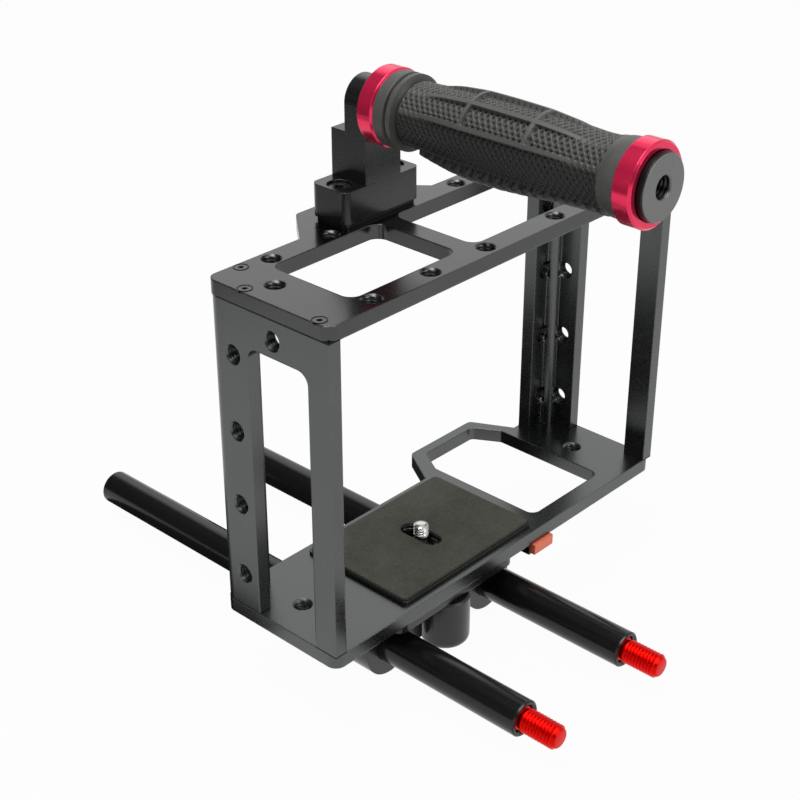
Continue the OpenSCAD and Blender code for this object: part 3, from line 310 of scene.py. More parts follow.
cage_black = material(
    "cage_black", color=(0.106, 0.110, 0.109), rough=0.27, metallic=1.0, edge=0.10,
    edge_color=(0.30, 0.30, 0.30), round_edges=0.8, bump=0.12, grain=(1500.0, 0.05))
# top_black is a darker copy of the cage's black anodising: painted shade on the parts that take it, whose top
# faces catch the lamps' reflection.
top_black = material(
    "top_black", color=(0.075, 0.077, 0.076), rough=0.21, metallic=1.0, edge=0.10,
    edge_color=(0.32, 0.32, 0.32), round_edges=0.9, bump=0.11, grain=(1500.0, 0.05))
clamp_black = material(
    "clamp_black", color=(0.005, 0.005, 0.005), rough=0.26, specular=0.55, tone=0.2, edge=0.10,
    edge_color=(0.10, 0.10, 0.10), round_edges=0.7, bump=0.08, grain=(1500.0, 0.05))
rod_black = material(
    "rod_black", color=(0.005, 0.005, 0.005), rough=0.20, specular=0.35, tone=0.2, edge=0.15,
    edge_color=(0.2, 0.2, 0.2), round_edges=0.4, bump=0.03, grain=(2200.0, 0.02), rough_tone=0.02)
pad_rubber = material(
    "pad_rubber", color=(0.060, 0.061, 0.050), rough=0.78, specular=0.12, tone=0.42, bump=0.6,
    grain=(1100.0, 0.12), rough_tone=0.10, patches=(62.0, 0.62))
# The grip's finish goes to a near-black painted shade colour where the mesh's painted lightness is low.
grip_rubber = material(
    "grip_rubber", color=(0.054, 0.054, 0.050), rough=0.44, specular=0.32, tone=0.18, round_edges=0.0,
    bump=0.4, grain=(1400.0, 0.06), sheen=0.02, painted_shade_color=(0.002, 0.002, 0.002))
steel = material(
    "steel", color=(0.62, 0.62, 0.60), rough=0.25, metallic=1.0, tone=0.08, round_edges=0.2, bump=0.15,
    grain=(2500.0, 0.03))
black_steel = material(
    "black_steel", color=(0.012, 0.012, 0.013), rough=0.30, specular=0.7, tone=0.2, edge=0.35,
    edge_color=(0.3, 0.3, 0.3), round_edges=0.2, bump=0.15, grain=(2500.0, 0.03))
stud_red = material(
    "stud_red", color=(0.70, 0.006, 0.004), rough=0.34, metallic=1.0, tone=0.08, round_edges=0.0,
    bump=0.1, grain=(2500.0, 0.03))
ring_red = material(
    "ring_red", color=(0.82, 0.022, 0.095), rough=0.20, metallic=0.7, specular=0.6, tone=0.06, edge=0.3,
    edge_color=(0.9, 0.25, 0.32), bump=0.08, grain=(2500.0, 0.03))
latch_red = material(
    "latch_red", color=(0.95, 0.20, 0.11), rough=0.40, tone=0.08, edge=0.2, edge_color=(0.9, 0.35, 0.25),
    round_edges=0.4, bump=0.1, grain=(1800.0, 0.03))
aluminium = material(
    "aluminium", color=(0.60, 0.60, 0.60), rough=0.32, metallic=1.0, tone=0.06, bump=0.15,
    grain=(1500.0, 0.03))
# The end cap keeps its grey on its face. Beyond the face's radius it is painted shade black.
cap_grey = material(
    "cap_grey", color=(0.150, 0.152, 0.148), rough=0.34, metallic=0.8, specular=0.6, edge=0.15,
    edge_color=(0.35, 0.35, 0.35), round_edges=0.4, bump=0.2, grain=(1500.0, 0.04),
    shaded_outside=(grip_axis_x, grip_axis_z, CAP_FACE_R))
thread_black = material(
    "thread_black", color=(0.004, 0.004, 0.004), rough=0.34, specular=0.45, tone=0.3, round_edges=0.0,
    bump=0.05)
# Matt black for the painted shadows in the seams and round the screw heads.
seam_shadow_black = material(
    "seam_shadow_black", color=(0.006, 0.006, 0.006), rough=0.7, specular=0.2, tone=0.3, round_edges=0.0,
    bump=0.1)

finishes = {
    "cage_black": cage_black, "top_black": top_black, "clamp_black": clamp_black, "rod_black": rod_black,
    "pad_rubber": pad_rubber, "grip_rubber": grip_rubber, "silver_steel": steel, "black_steel": black_steel,
    "stud_red": stud_red, "ring_red": ring_red, "latch_red": latch_red, "bar_aluminium": aluminium,
    "cap_grey": cap_grey}
for part in frame["record"]["subparts"]:
    slots = nodes[part["node"]].data.materials
    if len(slots) == 0:
        slots.append(None)
    for index in range(len(slots)):
        slots[index] = finishes[part["material_slot"]]


# Rubber grip: a turned sleeve with a knurled hollow, three long ribs, two cross ribs and a belly of bars
# under the fingers. Places along it go from its end at the end cap. Angles go round it from the top
# toward -X. A table of shares holds pairs: a share of the grip's length and a share of the named radius.
# Each point of the grip also gets a painted lightness: painted shade in the knurl's pits, in the far collar's
# groove and at its foot, beside the long ribs, on the flank below them and over the belly.
GRIP_ROWS, GRIP_AROUND = 364, 264
GRIP_SHARP = 60
BORE_R = 8.1
NEAR_FACE_R, FAR_FACE_R = 13.4, 13.6

BODY_R = 14.4
BODY_SHARES = (
    (0, 0.985), (0.045, 0.97), (0.068, 0.915), (0.09, 0.86), (0.15, 0.85), (0.225, 0.88), (0.34, 0.92),
    (0.49, 0.93), (0.68, 0.915), (0.78, 0.87), (0.85, 0.84), (0.895, 0.83), (1.0, 0.83))
BODY_BLUR = 1.2

COLLAR_R, COLLAR_L, COLLAR_STEP = 14.3, 8.9, 0.7
GROOVE_BACK, GROOVE_WIDTH, GROOVE_DEPTH = 5.4, 0.62, 1.1
COLLAR_FOOT_BACK, COLLAR_FOOT_WIDTH = 9.3, 0.7
GROOVE_POWER = 4
# Painted shade in the collar's groove and at its foot.
GROOVE_PAINTED_SHADE = 0.92

KNURL_TURNS, KNURL_PITCH, KNURL_DEPTH = 46, 2.6, 0.55
KNURL_NEAR, KNURL_NEAR_STEP = 6.6, 1.2
KNURL_FAR_BACK, KNURL_FAR_STEP = 9.6, 1.0
NET_SLOPE, NET_START = 2.2, 0.55
NET_MIDDLE = 0.5
# Painted shade in the knurl: a little over its net and full in its pits, with a smaller share near the belly.
NET_PAINTED_SHADE, PIT_PAINTED_SHADE = 0.10, 1.0

BELLY_ANGLE, BELLY_HALF, BELLY_STEP = 210, 75.5, 2.5
BELLY_EDGE, BELLY_EDGE_STEP = 73, 3.0
BELLY_DEPTH_SHARE, BELLY_PIT_SHADE_SHARE = 0.25, 0.55

# Painted shade on the grip's flank, between these angles from the top.
FLANK_FROM, FLANK_FROM_STEP = 68, 8.0
FLANK_TO, FLANK_TO_STEP = 150, 6.0
FLANK_PAINTED_SHADE = 0.80

RIB_R = 15.2
RIB_SHARES = ((0.15, 0.79), (0.235, 0.9), (0.36, 0.98), (0.5, 1), (0.62, 1), (0.74, 0.93), (0.835, 0.79))
RIB_BLUR = 2.0
RIB_ANGLES = (67, 28, -11)
RIB_HALF, RIB_STEP = 4.7, 1.3
# Painted shadow lines beside each long rib.
RIB_LINE_OFF, RIB_LINE_WIDTH, RIB_PAINTED_SHADOW = 6.2, 1.5, 0.85
RIB_LINE_LIFT = 0.6

CROSS_SHARES = (0.358, 0.622)
CROSS_R_SHARE = 0.99
CROSS_REACH, CROSS_REACH_STEP = 44, 1.5
CROSS_HALF, CROSS_STEP = 1.25, 0.45

BAR_R = 17.0
BAR_SHARES = (
    (0, 0.83), (0.13, 0.84), (0.25, 0.88), (0.36, 0.94), (0.48, 0.99), (0.61, 1), (0.7, 0.955), (0.79, 0.87),
    (0.87, 0.78))
BAR_FIRST_SHARE, BAR_LAST_SHARE = 0.075, 0.815
BAR_GAPS = 18
BAR_HALF_SHARE, BAR_STEP, BAR_HEIGHT = 0.33, 0.5, 1.1
BELLY_END_STEP = 0.8
# Painted lightness over the belly: painted shade, deepest in the gaps and less deep on the bars.
GAP_PAINTED_LIGHTNESS, BAR_PAINTED_LIGHTNESS = 0.04, 0.30

LINE_OFF, LINE_WIDTH, LINE_HEIGHT = 80.5, 2.2, 0.5

grip_low, grip_high = box_of("grip")
grip_l = grip_high[1] - grip_low[1]
grip_rows = np.linspace(0, grip_l, GRIP_ROWS)
row_step = grip_rows[1] - grip_rows[0]
grip_angles = round_angles(GRIP_AROUND)
row_of, angle_of = np.meshgrid(grip_rows, np.degrees(grip_angles), indexing="ij")


def outline_radius(shares, r):
    """The radius at each row, through the pairs of a table of shares."""
    places, radii = np.transpose(shares)
    return np.interp(grip_rows / grip_l, places, radii * r)


def angle_from(angle):
    """How far each point is from an angle, on either side."""
    return np.abs((angle_of - angle + 180) % 360 - 180)


def grooves():
    """The groove in the far collar and the hollow at the collar's foot, each 1 at its deepest. Only the
    groove is cut into the radius, and both get painted shade.
    """
    groove = bell(grip_rows - (grip_l - GROOVE_BACK), GROOVE_WIDTH, GROOVE_POWER)
    foot = bell(grip_rows - (grip_l - COLLAR_FOOT_BACK), COLLAR_FOOT_WIDTH, GROOVE_POWER)
    return groove, foot


def body_radius():
    """The radius of each row of the turned form, with the far collar and its groove."""
    body = blur(outline_radius(BODY_SHARES, BODY_R), BODY_BLUR / row_step)
    collar = smooth_step((grip_rows - (grip_l - COLLAR_L)) / COLLAR_STEP)
    groove, _ = grooves()
    return between(body, COLLAR_R, collar) - groove * GROOVE_DEPTH


def knurl_field():
    """1 over the hollow between the collars and 0 outside it."""
    after_near = smooth_step((row_of - KNURL_NEAR) / KNURL_NEAR_STEP)
    before_far = smooth_step((grip_l - KNURL_FAR_BACK - row_of) / KNURL_FAR_STEP)
    return after_near * before_far


def add_knurl(radius, field):
    """A net of diamonds that stands out, shallower near the belly, with painted shade over the net that is
    darkest in the pits, and painted shade on the lower flank.
    """
    across = angle_of / 360 * KNURL_TURNS / 2
    up = row_of / KNURL_PITCH
    diamond = np.minimum(triangle_wave(up + across), triangle_wave(up - across))
    pit = np.clip(diamond * NET_SLOPE - NET_START, 0, 1)
    clear = smooth_step((angle_from(BELLY_ANGLE) - BELLY_EDGE) / BELLY_EDGE_STEP)
    depth = KNURL_DEPTH * between(BELLY_DEPTH_SHARE, 1, clear)
    dark = between(NET_PAINTED_SHADE, PIT_PAINTED_SHADE, pit) * between(BELLY_PIT_SHADE_SHARE, 1, clear)
    # Painted shade on the flank below the ribs.
    below_top = smooth_step((angle_of - FLANK_FROM) / FLANK_FROM_STEP)
    above_belly = smooth_step((FLANK_TO - angle_of) / FLANK_TO_STEP)
    painted_lightness = (1 - field * dark) * (1 - FLANK_PAINTED_SHADE * field * below_top * above_belly)
    return radius + field * depth * (NET_MIDDLE - pit), painted_lightness


def lift(radius, painted_lightness, share, to_radius, to_lightness):
    """Brings the surface up to a radius, where it lies lower, and its painted lightness to a level, over the
    given share.
    """
    return between(radius, np.maximum(radius, to_radius), share), between(painted_lightness, to_lightness, share)


def add_ribs(radius, painted_lightness, body):
    """Long ribs with a painted shadow line along each side, and cross ribs between them."""
    rib = blur(outline_radius(RIB_SHARES, RIB_R), RIB_BLUR / row_step)[:, None]
    for angle in RIB_ANGLES:
        share = smooth_step((RIB_HALF - angle_from(angle)) / RIB_STEP)
        radius, painted_lightness = lift(radius, painted_lightness, share, rib, 1)
        # Painted shadow along each side of the rib.
        line = bell(angle_from(angle) - RIB_LINE_OFF, RIB_LINE_WIDTH)
        painted_lightness = painted_lightness * (1 - RIB_PAINTED_SHADOW * line * smooth_step((rib - body[:, None]) / RIB_LINE_LIFT))
    reach = smooth_step((CROSS_REACH - angle_from(RIB_ANGLES[1])) / CROSS_REACH_STEP)
    for place_share in CROSS_SHARES:
        away = np.abs(row_of - place_share * grip_l)
        share = smooth_step((CROSS_HALF - away) / CROSS_STEP) * reach
        radius, painted_lightness = lift(radius, painted_lightness, share, rib * CROSS_R_SHARE, 1)
    return radius, painted_lightness


def add_belly(radius, painted_lightness):
    """The crowned underside with its row of bars, under painted shade that is darkest in the gaps between the
    bars.
    """
    first, last = BAR_FIRST_SHARE * grip_l, BAR_LAST_SHARE * grip_l
    pitch = (last - first) / BAR_GAPS
    place = (row_of - first) / pitch
    away = np.abs(place - np.round(place)) * pitch
    bar = smooth_step((pitch * BAR_HALF_SHARE - away) / BAR_STEP)
    top = outline_radius(BAR_SHARES, BAR_R)[:, None]
    share = smooth_step((BELLY_HALF - angle_from(BELLY_ANGLE)) / BELLY_STEP)
    share = share * smooth_step((row_of - first + pitch / 2) / BELLY_END_STEP)
    share = share * smooth_step((last + pitch / 2 - row_of) / BELLY_END_STEP)
    return lift(radius, painted_lightness, share, top - BAR_HEIGHT * (1 - bar), between(GAP_PAINTED_LIGHTNESS, BAR_PAINTED_LIGHTNESS, bar))


def grip_skin():
    """The radius of each point, and its painted lightness from 0 to 1, which is low where shade is painted.
    """
    body, field = body_radius(), knurl_field()
    radius, painted_lightness = add_knurl(np.repeat(body[:, None], GRIP_AROUND, 1), field)
    radius, painted_lightness = add_ribs(radius, painted_lightness, body)
    radius, painted_lightness = add_belly(radius, painted_lightness)
    # Painted shade in the collar's groove and at its foot.
    hollow = np.clip(sum(grooves()), 0, 1)
    moulding = bell(angle_from(BELLY_ANGLE) - LINE_OFF, LINE_WIDTH) * field
    return radius + LINE_HEIGHT * moulding, painted_lightness * (1 - GROOVE_PAINTED_SHADE * hollow[:, None])


def grip_rings(radius, places):
    """Rings round the grip's axis. The radius holds a value for each ring or for each point."""
    shape = (len(places), GRIP_AROUND)
    y = np.broadcast_to(np.reshape(places, (-1, 1)), shape)
    x = grip_axis_x - np.broadcast_to(radius, shape) * np.sin(grip_angles)
    z = grip_axis_z + np.broadcast_to(radius, shape) * np.cos(grip_angles)
    return np.stack([x, y, z], -1)


def add_grip():
    radius, painted_lightness = grip_skin()
    near_end = grip_rings([[BORE_R], [NEAR_FACE_R]], [grip_low[1]] * 2)
    far_end = grip_rings([[FAR_FACE_R], [BORE_R]], [grip_high[1]] * 2)
    points = np.concatenate([near_end, grip_rings(radius, grip_low[1] + grip_rows), far_end])
    mesh = ring_mesh("grip_rubber_sleeve", points, GRIP_SHARP)
    # The end faces get no painted shade. The skin's painted lightness goes on the mesh's points for the
    # finish.
    plain = np.ones((2, GRIP_AROUND))
    values = np.concatenate([plain, painted_lightness, plain]).astype(np.float32)
    mesh.attributes.new("painted_lightness", "FLOAT", "POINT").data.foreach_set("value", values.ravel())
    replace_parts(add_object("grip_rubber_sleeve", mesh, grip_rubber, "grip_set"), "grip")


add_grip()

# Threads. A profile is a list of (height, radius) pairs along +Z.
OUTER_SLOPE, OUTER_START = 1.35, 0.1
OUTER_FADE_SHARE, OUTER_LEAST = 0.6, 0.15
INNER_SLOPE, INNER_START = 1.3, 0.15
INNER_FADE_SHARE = 0.5
CLOSING_SHARE = 0.001
TURNED_AROUND = 48


def ring_at(height, radius, count):
    """A ring about +Z. The radius is one value or one for each point."""
    theta = round_angles(count)
    return np.stack([radius * np.cos(theta), radius * np.sin(theta), np.full(count, height)], -1)


def thread_wave(height, count, pitch, slope, start):
    """From 0 to 1 and back over each turn of a thread, with a flat crest and a flat root."""
    wave = triangle_wave(height / pitch - round_angles(count) / FULL_TURN)
    return np.clip(wave * slope - start, 0, 1)


def spread(low, high, radius, step):
    """A straight stretch of a profile, with a pair about every step."""
    count = max(2, int(round((high - low) / step)) + 1)
    return [(height, radius) for height in np.linspace(low, high, count)]


def turned(profile, thread, pitch, depth):
    """Rings of a turned piece, with a screw thread cut between the two heights of thread."""
    rings = []
    for height, radius in profile:
        cut = 0
        if thread[0] <= height <= thread[1]:
            from_end = min(height - thread[0], thread[1] - height)
            wave = thread_wave(height, TURNED_AROUND, pitch, OUTER_SLOPE, OUTER_START)
            cut = depth * smooth_step(from_end / (pitch * OUTER_FADE_SHARE) + OUTER_LEAST) * (1 - wave)
        rings.append(ring_at(height, radius - cut, TURNED_AROUND))
    return rings


def closed(rings):
    """The rings, with one more at each end that is drawn in to next to nothing."""
    start, end = (between(ring.mean(0), ring, CLOSING_SHARE) for ring in (rings[0], rings[-1]))
    return np.array([start] + rings + [end])


# Rod studs. Height 0 is the rod's end, and the part below it is in the rod's bore.
STUD_SHARP = 50
STUD_THREAD, STUD_THREAD_R = (1.0, 14.9), 5.0
STUD_PITCH, STUD_DEPTH, STUD_STEP = 1.5, 0.75, 0.15
STUD_ROOT = [(-21.9, 4.0), (-21.3, 4.75)] + spread(-21.2, -1.0, 4.98, 0.2)
STUD_NECK = [(-0.75, 4.2), (0.7, 4.2), (0.9, 4.6)]
STUD_TIP = [(15.05, 4.55), (16.2, 4.05), (16.5, 3.7), (16.6, 3.2)]


def add_stud(name, node, body, rod):
    """The red stud in the near end of a rod, on the axis that the record gives it."""
    profile = STUD_ROOT + STUD_NECK + spread(*STUD_THREAD, STUD_THREAD_R, STUD_STEP) + STUD_TIP
    rings = turned(profile, STUD_THREAD, STUD_PITCH, STUD_DEPTH)
    mesh = ring_mesh(name, closed(rings), STUD_SHARP)
    x, _, z = mounts[node]["pos_m"]
    rod_end = box_of(rod)[0][1] * MM
    mesh.transform(along(mounts[node]["axis"], (x, rod_end, z)))
    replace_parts(add_object(name, mesh, stud_red, body), node)


add_stud("threaded_stud_left", "stud_left", "left_stud", "rod_left")
add_stud("threaded_stud_right", "stud_right", "right_stud", "rod_right")

# Camera screw. Height 0 is the base plate's underside, where the head ends.
SCREW_SHARP = 40
SCREW_HEAD = [(-3.2, 2.35), (-3.2, 5.0), (-2.9, 5.4), (-2.6, 5.5), (-0.5, 5.5), (-0.2, 5.4), (0.0, 5.1),
              (0.0, 2.6)]
SCREW_SHANK = spread(0.1, 8.3, 2.6, 1.0)
SCREW_THREAD, SCREW_R = (8.5, 12.9), 3.175
SCREW_PITCH, SCREW_DEPTH, SCREW_STEP = 1.27, 0.6, 0.12
SCREW_TIP = [(12.95, 3.1), (13.2, 2.75), (13.45, 2.3), (13.65, 1.7), (13.78, 0.9), (13.8, 0.2)]
SOCKET_R, SOCKET_FLOOR, SOCKET_MOUTH = 2.3, -1.2, -3.2
SOCKET_SIDES = 6


def socket_ring(height):
    """A ring with flat sides for the key."""
    side_angle = FULL_TURN / SOCKET_SIDES
    half_side = side_angle / 2
    off_side = (round_angles(TURNED_AROUND) + half_side) % side_angle - half_side
    return ring_at(height, SOCKET_R * math.cos(half_side) / np.cos(off_side), TURNED_AROUND)


def add_camera_screw():
    profile = SCREW_HEAD + SCREW_SHANK + spread(*SCREW_THREAD, SCREW_R, SCREW_STEP) + SCREW_TIP
    rings = [socket_ring(SOCKET_FLOOR), socket_ring(SOCKET_MOUTH)]
    rings += turned(profile, SCREW_THREAD, SCREW_PITCH, SCREW_DEPTH)
    mesh = ring_mesh("screw", closed(rings), SCREW_SHARP)
    x, y, _ = mounts["camera_screw"]["pos_m"]
    mesh.transform(along((0, 0, 1), (x, y, 0)))
    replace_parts(add_object("camera_screw_threaded", mesh, steel, "screw"), "camera_screw")


add_camera_screw()

# Threads in holes, as thin sleeves on the bores of the solids
SLEEVE_SHARP = 60
SLEEVE_INSET, SLEEVE_WALL = 0.02, 0.15
RINGS_PER_TURN, LEAST_RINGS = 7, 8
PLATE_THREAD = {"around": 32, "pitch": 1.27, "depth": 0.42}
CAP_THREAD = {"around": 40, "pitch": 1.59, "depth": 0.5}
ROD_THREAD = {"around": 40, "pitch": 1.5, "depth": 0.55}
PLATE_END_GAP, CAP_END_GAP, ROD_END_GAP = 0.1, 0.3, 0.2


def sleeve(radius, length, around, pitch, depth):
    """A ring about +Z, centred on the origin: a thread on its inner face, and its outer face in the metal."""
    half = length / 2
    steps = max(LEAST_RINGS, int(round(length / pitch * RINGS_PER_TURN)))
    rings = []
    for height in np.linspace(-half, half, steps + 1):
        fade = smooth_step((half - abs(height)) / (pitch * INNER_FADE_SHARE))
        wave = thread_wave(height, around, pitch, INNER_SLOPE, INNER_START)
        rings.append(ring_at(height, radius - SLEEVE_INSET - depth * fade * wave, around))
    rings += [ring_at(height, radius + SLEEVE_WALL, around) for height in (half, -half)]
    return ring_mesh("sleeve", rings[::-1], SLEEVE_SHARP)


def thread_kind(name):
    """A hole's thread, the gap at its ends, and the body, piece and finish that it belongs to."""
    if name == "end_cap_thread":
        return CAP_THREAD, CAP_END_GAP, ("cage", "cap_hole_thread", thread_black)
    if name == "rod_left_far_thread":
        return ROD_THREAD, ROD_END_GAP, ("left_rod", name, rod_black)
    if name == "rod_right_far_thread":
        return ROD_THREAD, ROD_END_GAP, ("right_rod", name, rod_black)
    return PLATE_THREAD, PLATE_END_GAP, ("cage", "hole_threads", thread_black)


def add_hole_threads():
    pieces = {}
    for name, mount in mounts.items():
        if mount["kind"] == "threaded_hole":
            thread, gap, piece = thread_kind(name)
            mesh = sleeve(mount["dims"]["r_mm"], mount["dims"]["length_mm"] - gap, **thread)
            pieces.setdefault(piece, []).append((mesh, along(mount["axis"], mount["pos_m"])))
    for (body, name, finish), sleeves in pieces.items():
        add_object(name, join(name, sleeves), finish, body)


add_hole_threads()

# Latch spring
SPRING_TURNS, SPRING_WIRE_R = 4, 0.25
SPRING_SIDES, STEPS_PER_TURN = 10, 30
SPRING_SHARP = 50


def coil_spring(low, high):
    """A wound spring along Y that fills the box from low to high, with a closed turn at each end."""
    middle_x, middle_z = (low[0] + high[0]) / 2, (low[2] + high[2]) / 2
    coil_r = (high[0] - low[0]) / 2 - SPRING_WIRE_R
    turns = np.linspace(0, SPRING_TURNS, SPRING_TURNS * STEPS_PER_TURN + 1)
    first, last = low[1] + SPRING_WIRE_R, high[1] - SPRING_WIRE_R
    wire = 2 * SPRING_WIRE_R
    y = np.interp(turns, [0, 1, SPRING_TURNS - 1, SPRING_TURNS], [first, first + wire, last - wire, last])
    side = round_angles(SPRING_SIDES)[None, :]
    reach = coil_r + SPRING_WIRE_R * np.cos(side)
    turned_by = FULL_TURN * turns[:, None]
    points = np.stack([middle_x + reach * np.cos(turned_by), y[:, None] + SPRING_WIRE_R * np.sin(side),
                       middle_z + reach * np.sin(turned_by)], -1)
    count = SPRING_SIDES
    faces = []
    for start in range(0, (len(turns) - 1) * count, count):
        for spot in range(count):
            here, there = start + spot, start + (spot + 1) % count
            faces.append([here, there, there + count, here + count])
    end = start + count
    faces += [list(range(count))[::-1], list(range(end, end + count))]
    mesh = bpy.data.meshes.new("latch_coil_spring")
    mesh.from_pydata((points * MM).reshape(-1, 3).tolist(), [], faces)
    return shaded(mesh, SPRING_SHARP)


spring_low, spring_high = (np.array(corner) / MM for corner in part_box("latch_spring"))
spring = bpy.data.objects.new("latch_coil_spring", coil_spring(spring_low, spring_high))
scene.collection.objects.link(spring)
spring.data.materials.append(steel)
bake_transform(spring)
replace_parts(spring, "latch_spring")

# Painted shadow in the seams: thin black frames at the ends of the side plates, and black rings on the heads
# of the top screws
PLATE_WALL, PLATE_FLANGE, PLATE_CORNER_R = 5.5, 6.0, 5.0
NEAR_POST, FAR_POST = 10.6, 19.9
CORNER_STEPS = 9
SEAM_SHADOW_PROUD, SEAM_SHADOW_DEPTH, SEAM_SHADOW_HALF = 0.03, 0.25, 0.25
MITRE_LEAST = 0.3
SEAM_SHADOW_SHARP = 30
HEAD_RING_R, HEAD_RING_L, HEAD_RING_PROUD = 2.6, 0.3, 0.02
NO_THREAD = {"around": 40, "pitch": 1.0, "depth": 0}
SIDE_SCREWS = ((97.25, 13.2), (97.25, -23.6))
FLANGE_SCREW = (86.0, 27.5)


def side_plate_outlines(low, high):
    """Plan outlines of the left side plate: its whole section, its near post and its far post."""
    outer, inner = low[0], low[0] + PLATE_WALL
    near, far, tip = low[1], high[1], high[0]
    corner = [(inner, far - PLATE_FLANGE), (tip, far - PLATE_FLANGE), (tip, far)]
    for angle in np.linspace(0, math.pi / 2, CORNER_STEPS):
        across, up = PLATE_CORNER_R * math.sin(angle), PLATE_CORNER_R * math.cos(angle)
        corner.append((outer + PLATE_CORNER_R - across, far - PLATE_CORNER_R + up))
    section = [(outer, near), (inner, near)] + corner
    foot_near = [(outer, near), (inner, near), (inner, near + NEAR_POST), (outer, near + NEAR_POST)]
    foot_far = [(outer, far - FAR_POST), (inner, far - FAR_POST)] + corner
    return section, foot_near, foot_far


def outward(steps):
    """The unit normals of an outline's steps, which face out of it."""
    return np.stack([steps[:, 1], -steps[:, 0]], -1) / np.linalg.norm(steps, axis=1)[:, None]


def seam_shadow_frame(outline, side, height):
    """A thin black frame round an end of a side plate, as painted shadow in the seam. Side is -1 for the left
    plate and 1 for the right.
    """
    path = np.array(outline)
    ahead, behind = outward(np.roll(path, -1, 0) - path), outward(path - np.roll(path, 1, 0))
    normal = ahead + behind
    normal = normal / np.maximum((normal * ahead).sum(-1), MITRE_LEAST)[:, None]
    rings = []
    for proud, up in ((SEAM_SHADOW_PROUD, SEAM_SHADOW_HALF), (-SEAM_SHADOW_DEPTH, SEAM_SHADOW_HALF),
                      (-SEAM_SHADOW_DEPTH, -SEAM_SHADOW_HALF), (SEAM_SHADOW_PROUD, -SEAM_SHADOW_HALF)):
        x, y = (path + normal * proud).T
        rings.append(np.stack([-side * x, y, np.full(len(path), height + up)], -1))
    return ring_mesh("seam", np.stack(rings, 1), SEAM_SHADOW_SHARP)


def head_shadow_ring(x, y):
    """A black ring on the head of a top screw, as painted shadow at its rim."""
    height = (box_of("top_plate")[1][2] + HEAD_RING_PROUD) * MM
    ring = sleeve(HEAD_RING_R, HEAD_RING_L, **NO_THREAD)
    return ring, Matrix.Translation((x * MM, y * MM, height))


def add_seams():
    plate_low, plate_high = box_of("left_side_plate")
    section, foot_near, foot_far = side_plate_outlines(plate_low, plate_high)
    seams = [(seam_shadow_frame(outline, side, height), Matrix.Identity(4)) for side in (-1, 1)
             for outline, height in ((foot_near, plate_low[2]), (foot_far, plate_low[2]),
                                     (section, plate_high[2]))]
    seams += [head_shadow_ring(side * x, y) for side in (-1, 1) for x, y in SIDE_SCREWS]
    seams += [head_shadow_ring(side * FLANGE_SCREW[0], FLANGE_SCREW[1]) for side in (-1, 1)]
    add_object("seam_shadows", join("seam_shadows", seams), seam_shadow_black, "cage")


add_seams()

# Floor and backdrop. From here on all lengths are in metres.
FLOOR_SIZE = 30.0
FLOOR_GREY = (0.38, 0.38, 0.38)
FLOOR_GLOW_SHARE = 0.965
WORLD_LEVELS = (0.26, 1.0)
WORLD_GREY, WORLD_WHITE = (0.8, 0.8, 0.8), (1, 1, 1)


def seen_directly(tree):
    """Two sockets: one is 1 for rays of the camera, mirrors and glass, the other for the camera's alone."""
    path = add_node(tree, "ShaderNodeLightPath", {}).outputs
    mirrored = math_node(tree, "MAXIMUM", path["Is Glossy Ray"], path["Is Transmission Ray"])
    return math_node(tree, "MAXIMUM", path["Is Camera Ray"], mirrored), path["Is Camera Ray"]


def add_floor(height):
    """A white floor that glows where it is seen and still takes soft shadows."""
    bpy.ops.mesh.primitive_plane_add(size=FLOOR_SIZE, location=(0, 0, height))
    floor = bpy.context.object
    floor.name = "floor"
    white = bpy.data.materials.new("floor_white")
    tree = empty_tree(white)
    seen, _ = seen_directly(tree)
    diffuse = add_node(tree, "ShaderNodeBsdfDiffuse", {"Color": opaque(FLOOR_GREY)})
    glow = add_node(tree, "ShaderNodeEmission", {"Strength": 1.0})
    share = math_node(tree, "MULTIPLY", seen, FLOOR_GLOW_SHARE)
    surface = add_node(tree, "ShaderNodeMixShader", {0: share, 1: diffuse.outputs[0], 2: glow.outputs[0]})
    add_node(tree, "ShaderNodeOutputMaterial", {"Surface": surface.outputs[0]})
    floor.data.materials.append(white)


def add_world():
    """A backdrop that is white where it is seen and dimmer as a light."""
    world = bpy.data.worlds.new("studio")
    scene.world = world
    tree = empty_tree(world)
    seen, from_camera = seen_directly(tree)
    background = add_node(tree, "ShaderNodeBackground", {
        "Strength": map_range(tree, seen, (0, 1), WORLD_LEVELS),
        "Color": mix_colors(tree, from_camera, opaque(WORLD_GREY), opaque(WORLD_WHITE))})
    add_node(tree, "ShaderNodeOutputWorld", {"Surface": background.outputs[0]})


floor_z = cad_box[0][2]
add_floor(floor_z)
add_world()

# Lamps and cards
CARD_BLACK = (0.004, 0.004, 0.004)
CARD_ROUGH = 0.9
CARD_LIFT = 0.001


def aim(thing, place, target, facing):
    """Turns a thing at a place so that its facing axis points at the target."""
    thing.rotation_mode = "QUATERNION"
    thing.rotation_quaternion = (Vector(target) - Vector(place)).to_track_quat(facing, "Y")


def add_lamp(name, place, target, size, power):
    """A soft box that the camera doesn't see."""
    light = bpy.data.lights.new(name, "AREA")
    light.shape = "RECTANGLE"
    light.size, light.size_y = size
    light.energy = power
    lamp = bpy.data.objects.new(name, light)
    scene.collection.objects.link(lamp)
    lamp.location = place
    aim(lamp, place, target, "-Z")
    lamp.visible_camera = False


def card_black(name, density):
    """Matt black, and clear in part where the density is below 1, as in a net."""
    black = bpy.data.materials.new(name)
    tree = empty_tree(black)
    matt = add_node(tree, "ShaderNodeBsdfPrincipled", {
        "Base Color": opaque(CARD_BLACK), "Roughness": CARD_ROUGH})
    surface = matt
    if density < 1:
        clear = add_node(tree, "ShaderNodeBsdfTransparent", {})
        surface = add_node(tree, "ShaderNodeMixShader", {0: density, 1: clear.outputs[0], 2: matt.outputs[0]})
    add_node(tree, "ShaderNodeOutputMaterial", {"Surface": surface.outputs[0]})
    return black


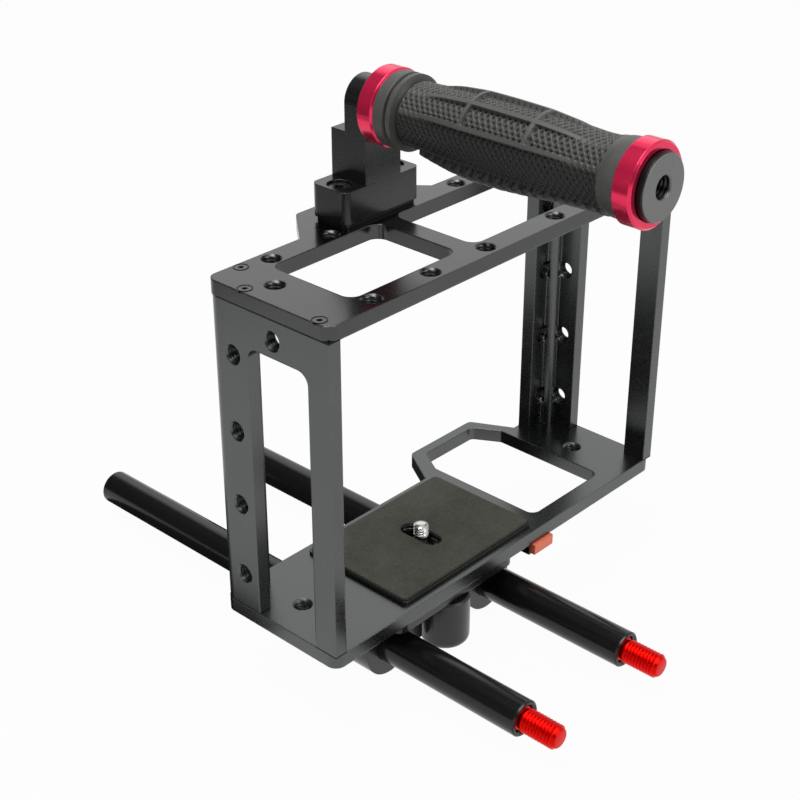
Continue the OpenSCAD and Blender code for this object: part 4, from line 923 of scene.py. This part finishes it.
def add_flag(name, place, target, size, density=1.0):
    """A black card, or a net of the given density, that only reflections see, as a studio has."""
    bpy.ops.mesh.primitive_plane_add(size=1.0, location=place)
    card = bpy.context.object
    card.name = name
    card.scale = (*size, 1)
    aim(card, place, target, "Z")
    card.data.materials.append(card_black(name, density))
    card.visible_camera = False
    card.visible_shadow = False
    card.visible_diffuse = False


def add_floor_flag(name, x, y, size):
    """A black card that lies on the floor and faces up."""
    add_flag(name, (x, y, floor_z + CARD_LIFT), (x, y, 1.0), size)


add_lamp("softbox_back", place=(1.3, 1.25, 1.2), target=(0, 0, 0.1), size=(1.5, 1.1), power=6)
add_lamp("softbox_top", place=(-0.35, 0.1, 1.6), target=(0, 0, 0.1), size=(1.2, 1.2), power=30)
add_lamp("softbox_left", place=(-1.5, 0.35, 0.55), target=(0, 0, 0.08), size=(0.7, 0.9), power=6)
add_lamp("softbox_front", place=(0.25, -1.5, 0.75), target=(0, 0, 0.05), size=(1.0, 0.7), power=11)
add_flag("flag_front", place=(-0.95, -0.95, 0.75), target=(0, 0, 0.1), size=(1.6, 1.1))
add_flag("flag_far_left", place=(-0.42, 0.44, 0.425), target=(-0.02, 0.02, 0.425), size=(1.1, 0.9))
add_flag("flag_over", place=(-0.35, 0.75, 1.25), target=(0, 0, 0.1), size=(1.5, 1.0))
add_flag("net_back", place=(0.66, 0.73, 0.67), target=(-0.05, 0, 0.08), size=(1.2, 0.9), density=0.33)
# A black card on the floor under the back of the cage, seen only in reflections: painted shadow on the floor
# there.
add_floor_flag("shadow_card_behind", x=-0.02, y=0.10, size=(0.24, 0.13))
add_floor_flag("flag_handle", x=-0.36, y=0.345, size=(0.10, 0.10))

# Camera, from the fit of the cage's straight edges in the photo
CAMERA_PLACE = (-0.43902, -0.37636, 0.38118)
CAMERA_AZIMUTH, CAMERA_ELEVATION = -47.223, 28.8
LENS_MM, SENSOR_MM = 73.595, 36.0
CLIP_NEAR, CLIP_FAR = 0.01, 20.0


def add_camera():
    azimuth, elevation = math.radians(CAMERA_AZIMUTH), math.radians(CAMERA_ELEVATION)
    level = math.cos(elevation)
    back = Vector((math.sin(azimuth) * level, -math.cos(azimuth) * level, math.sin(elevation)))
    data = bpy.data.cameras.new("camera")
    data.sensor_width = SENSOR_MM
    data.lens = LENS_MM
    data.clip_start, data.clip_end = CLIP_NEAR, CLIP_FAR
    camera = bpy.data.objects.new("camera", data)
    scene.collection.objects.link(camera)
    camera.location = CAMERA_PLACE
    camera.rotation_mode = "QUATERNION"
    camera.rotation_quaternion = (-back).to_track_quat("-Z", "Y")
    return camera


scene.camera = add_camera()
scene.view_settings.view_transform = "Standard"
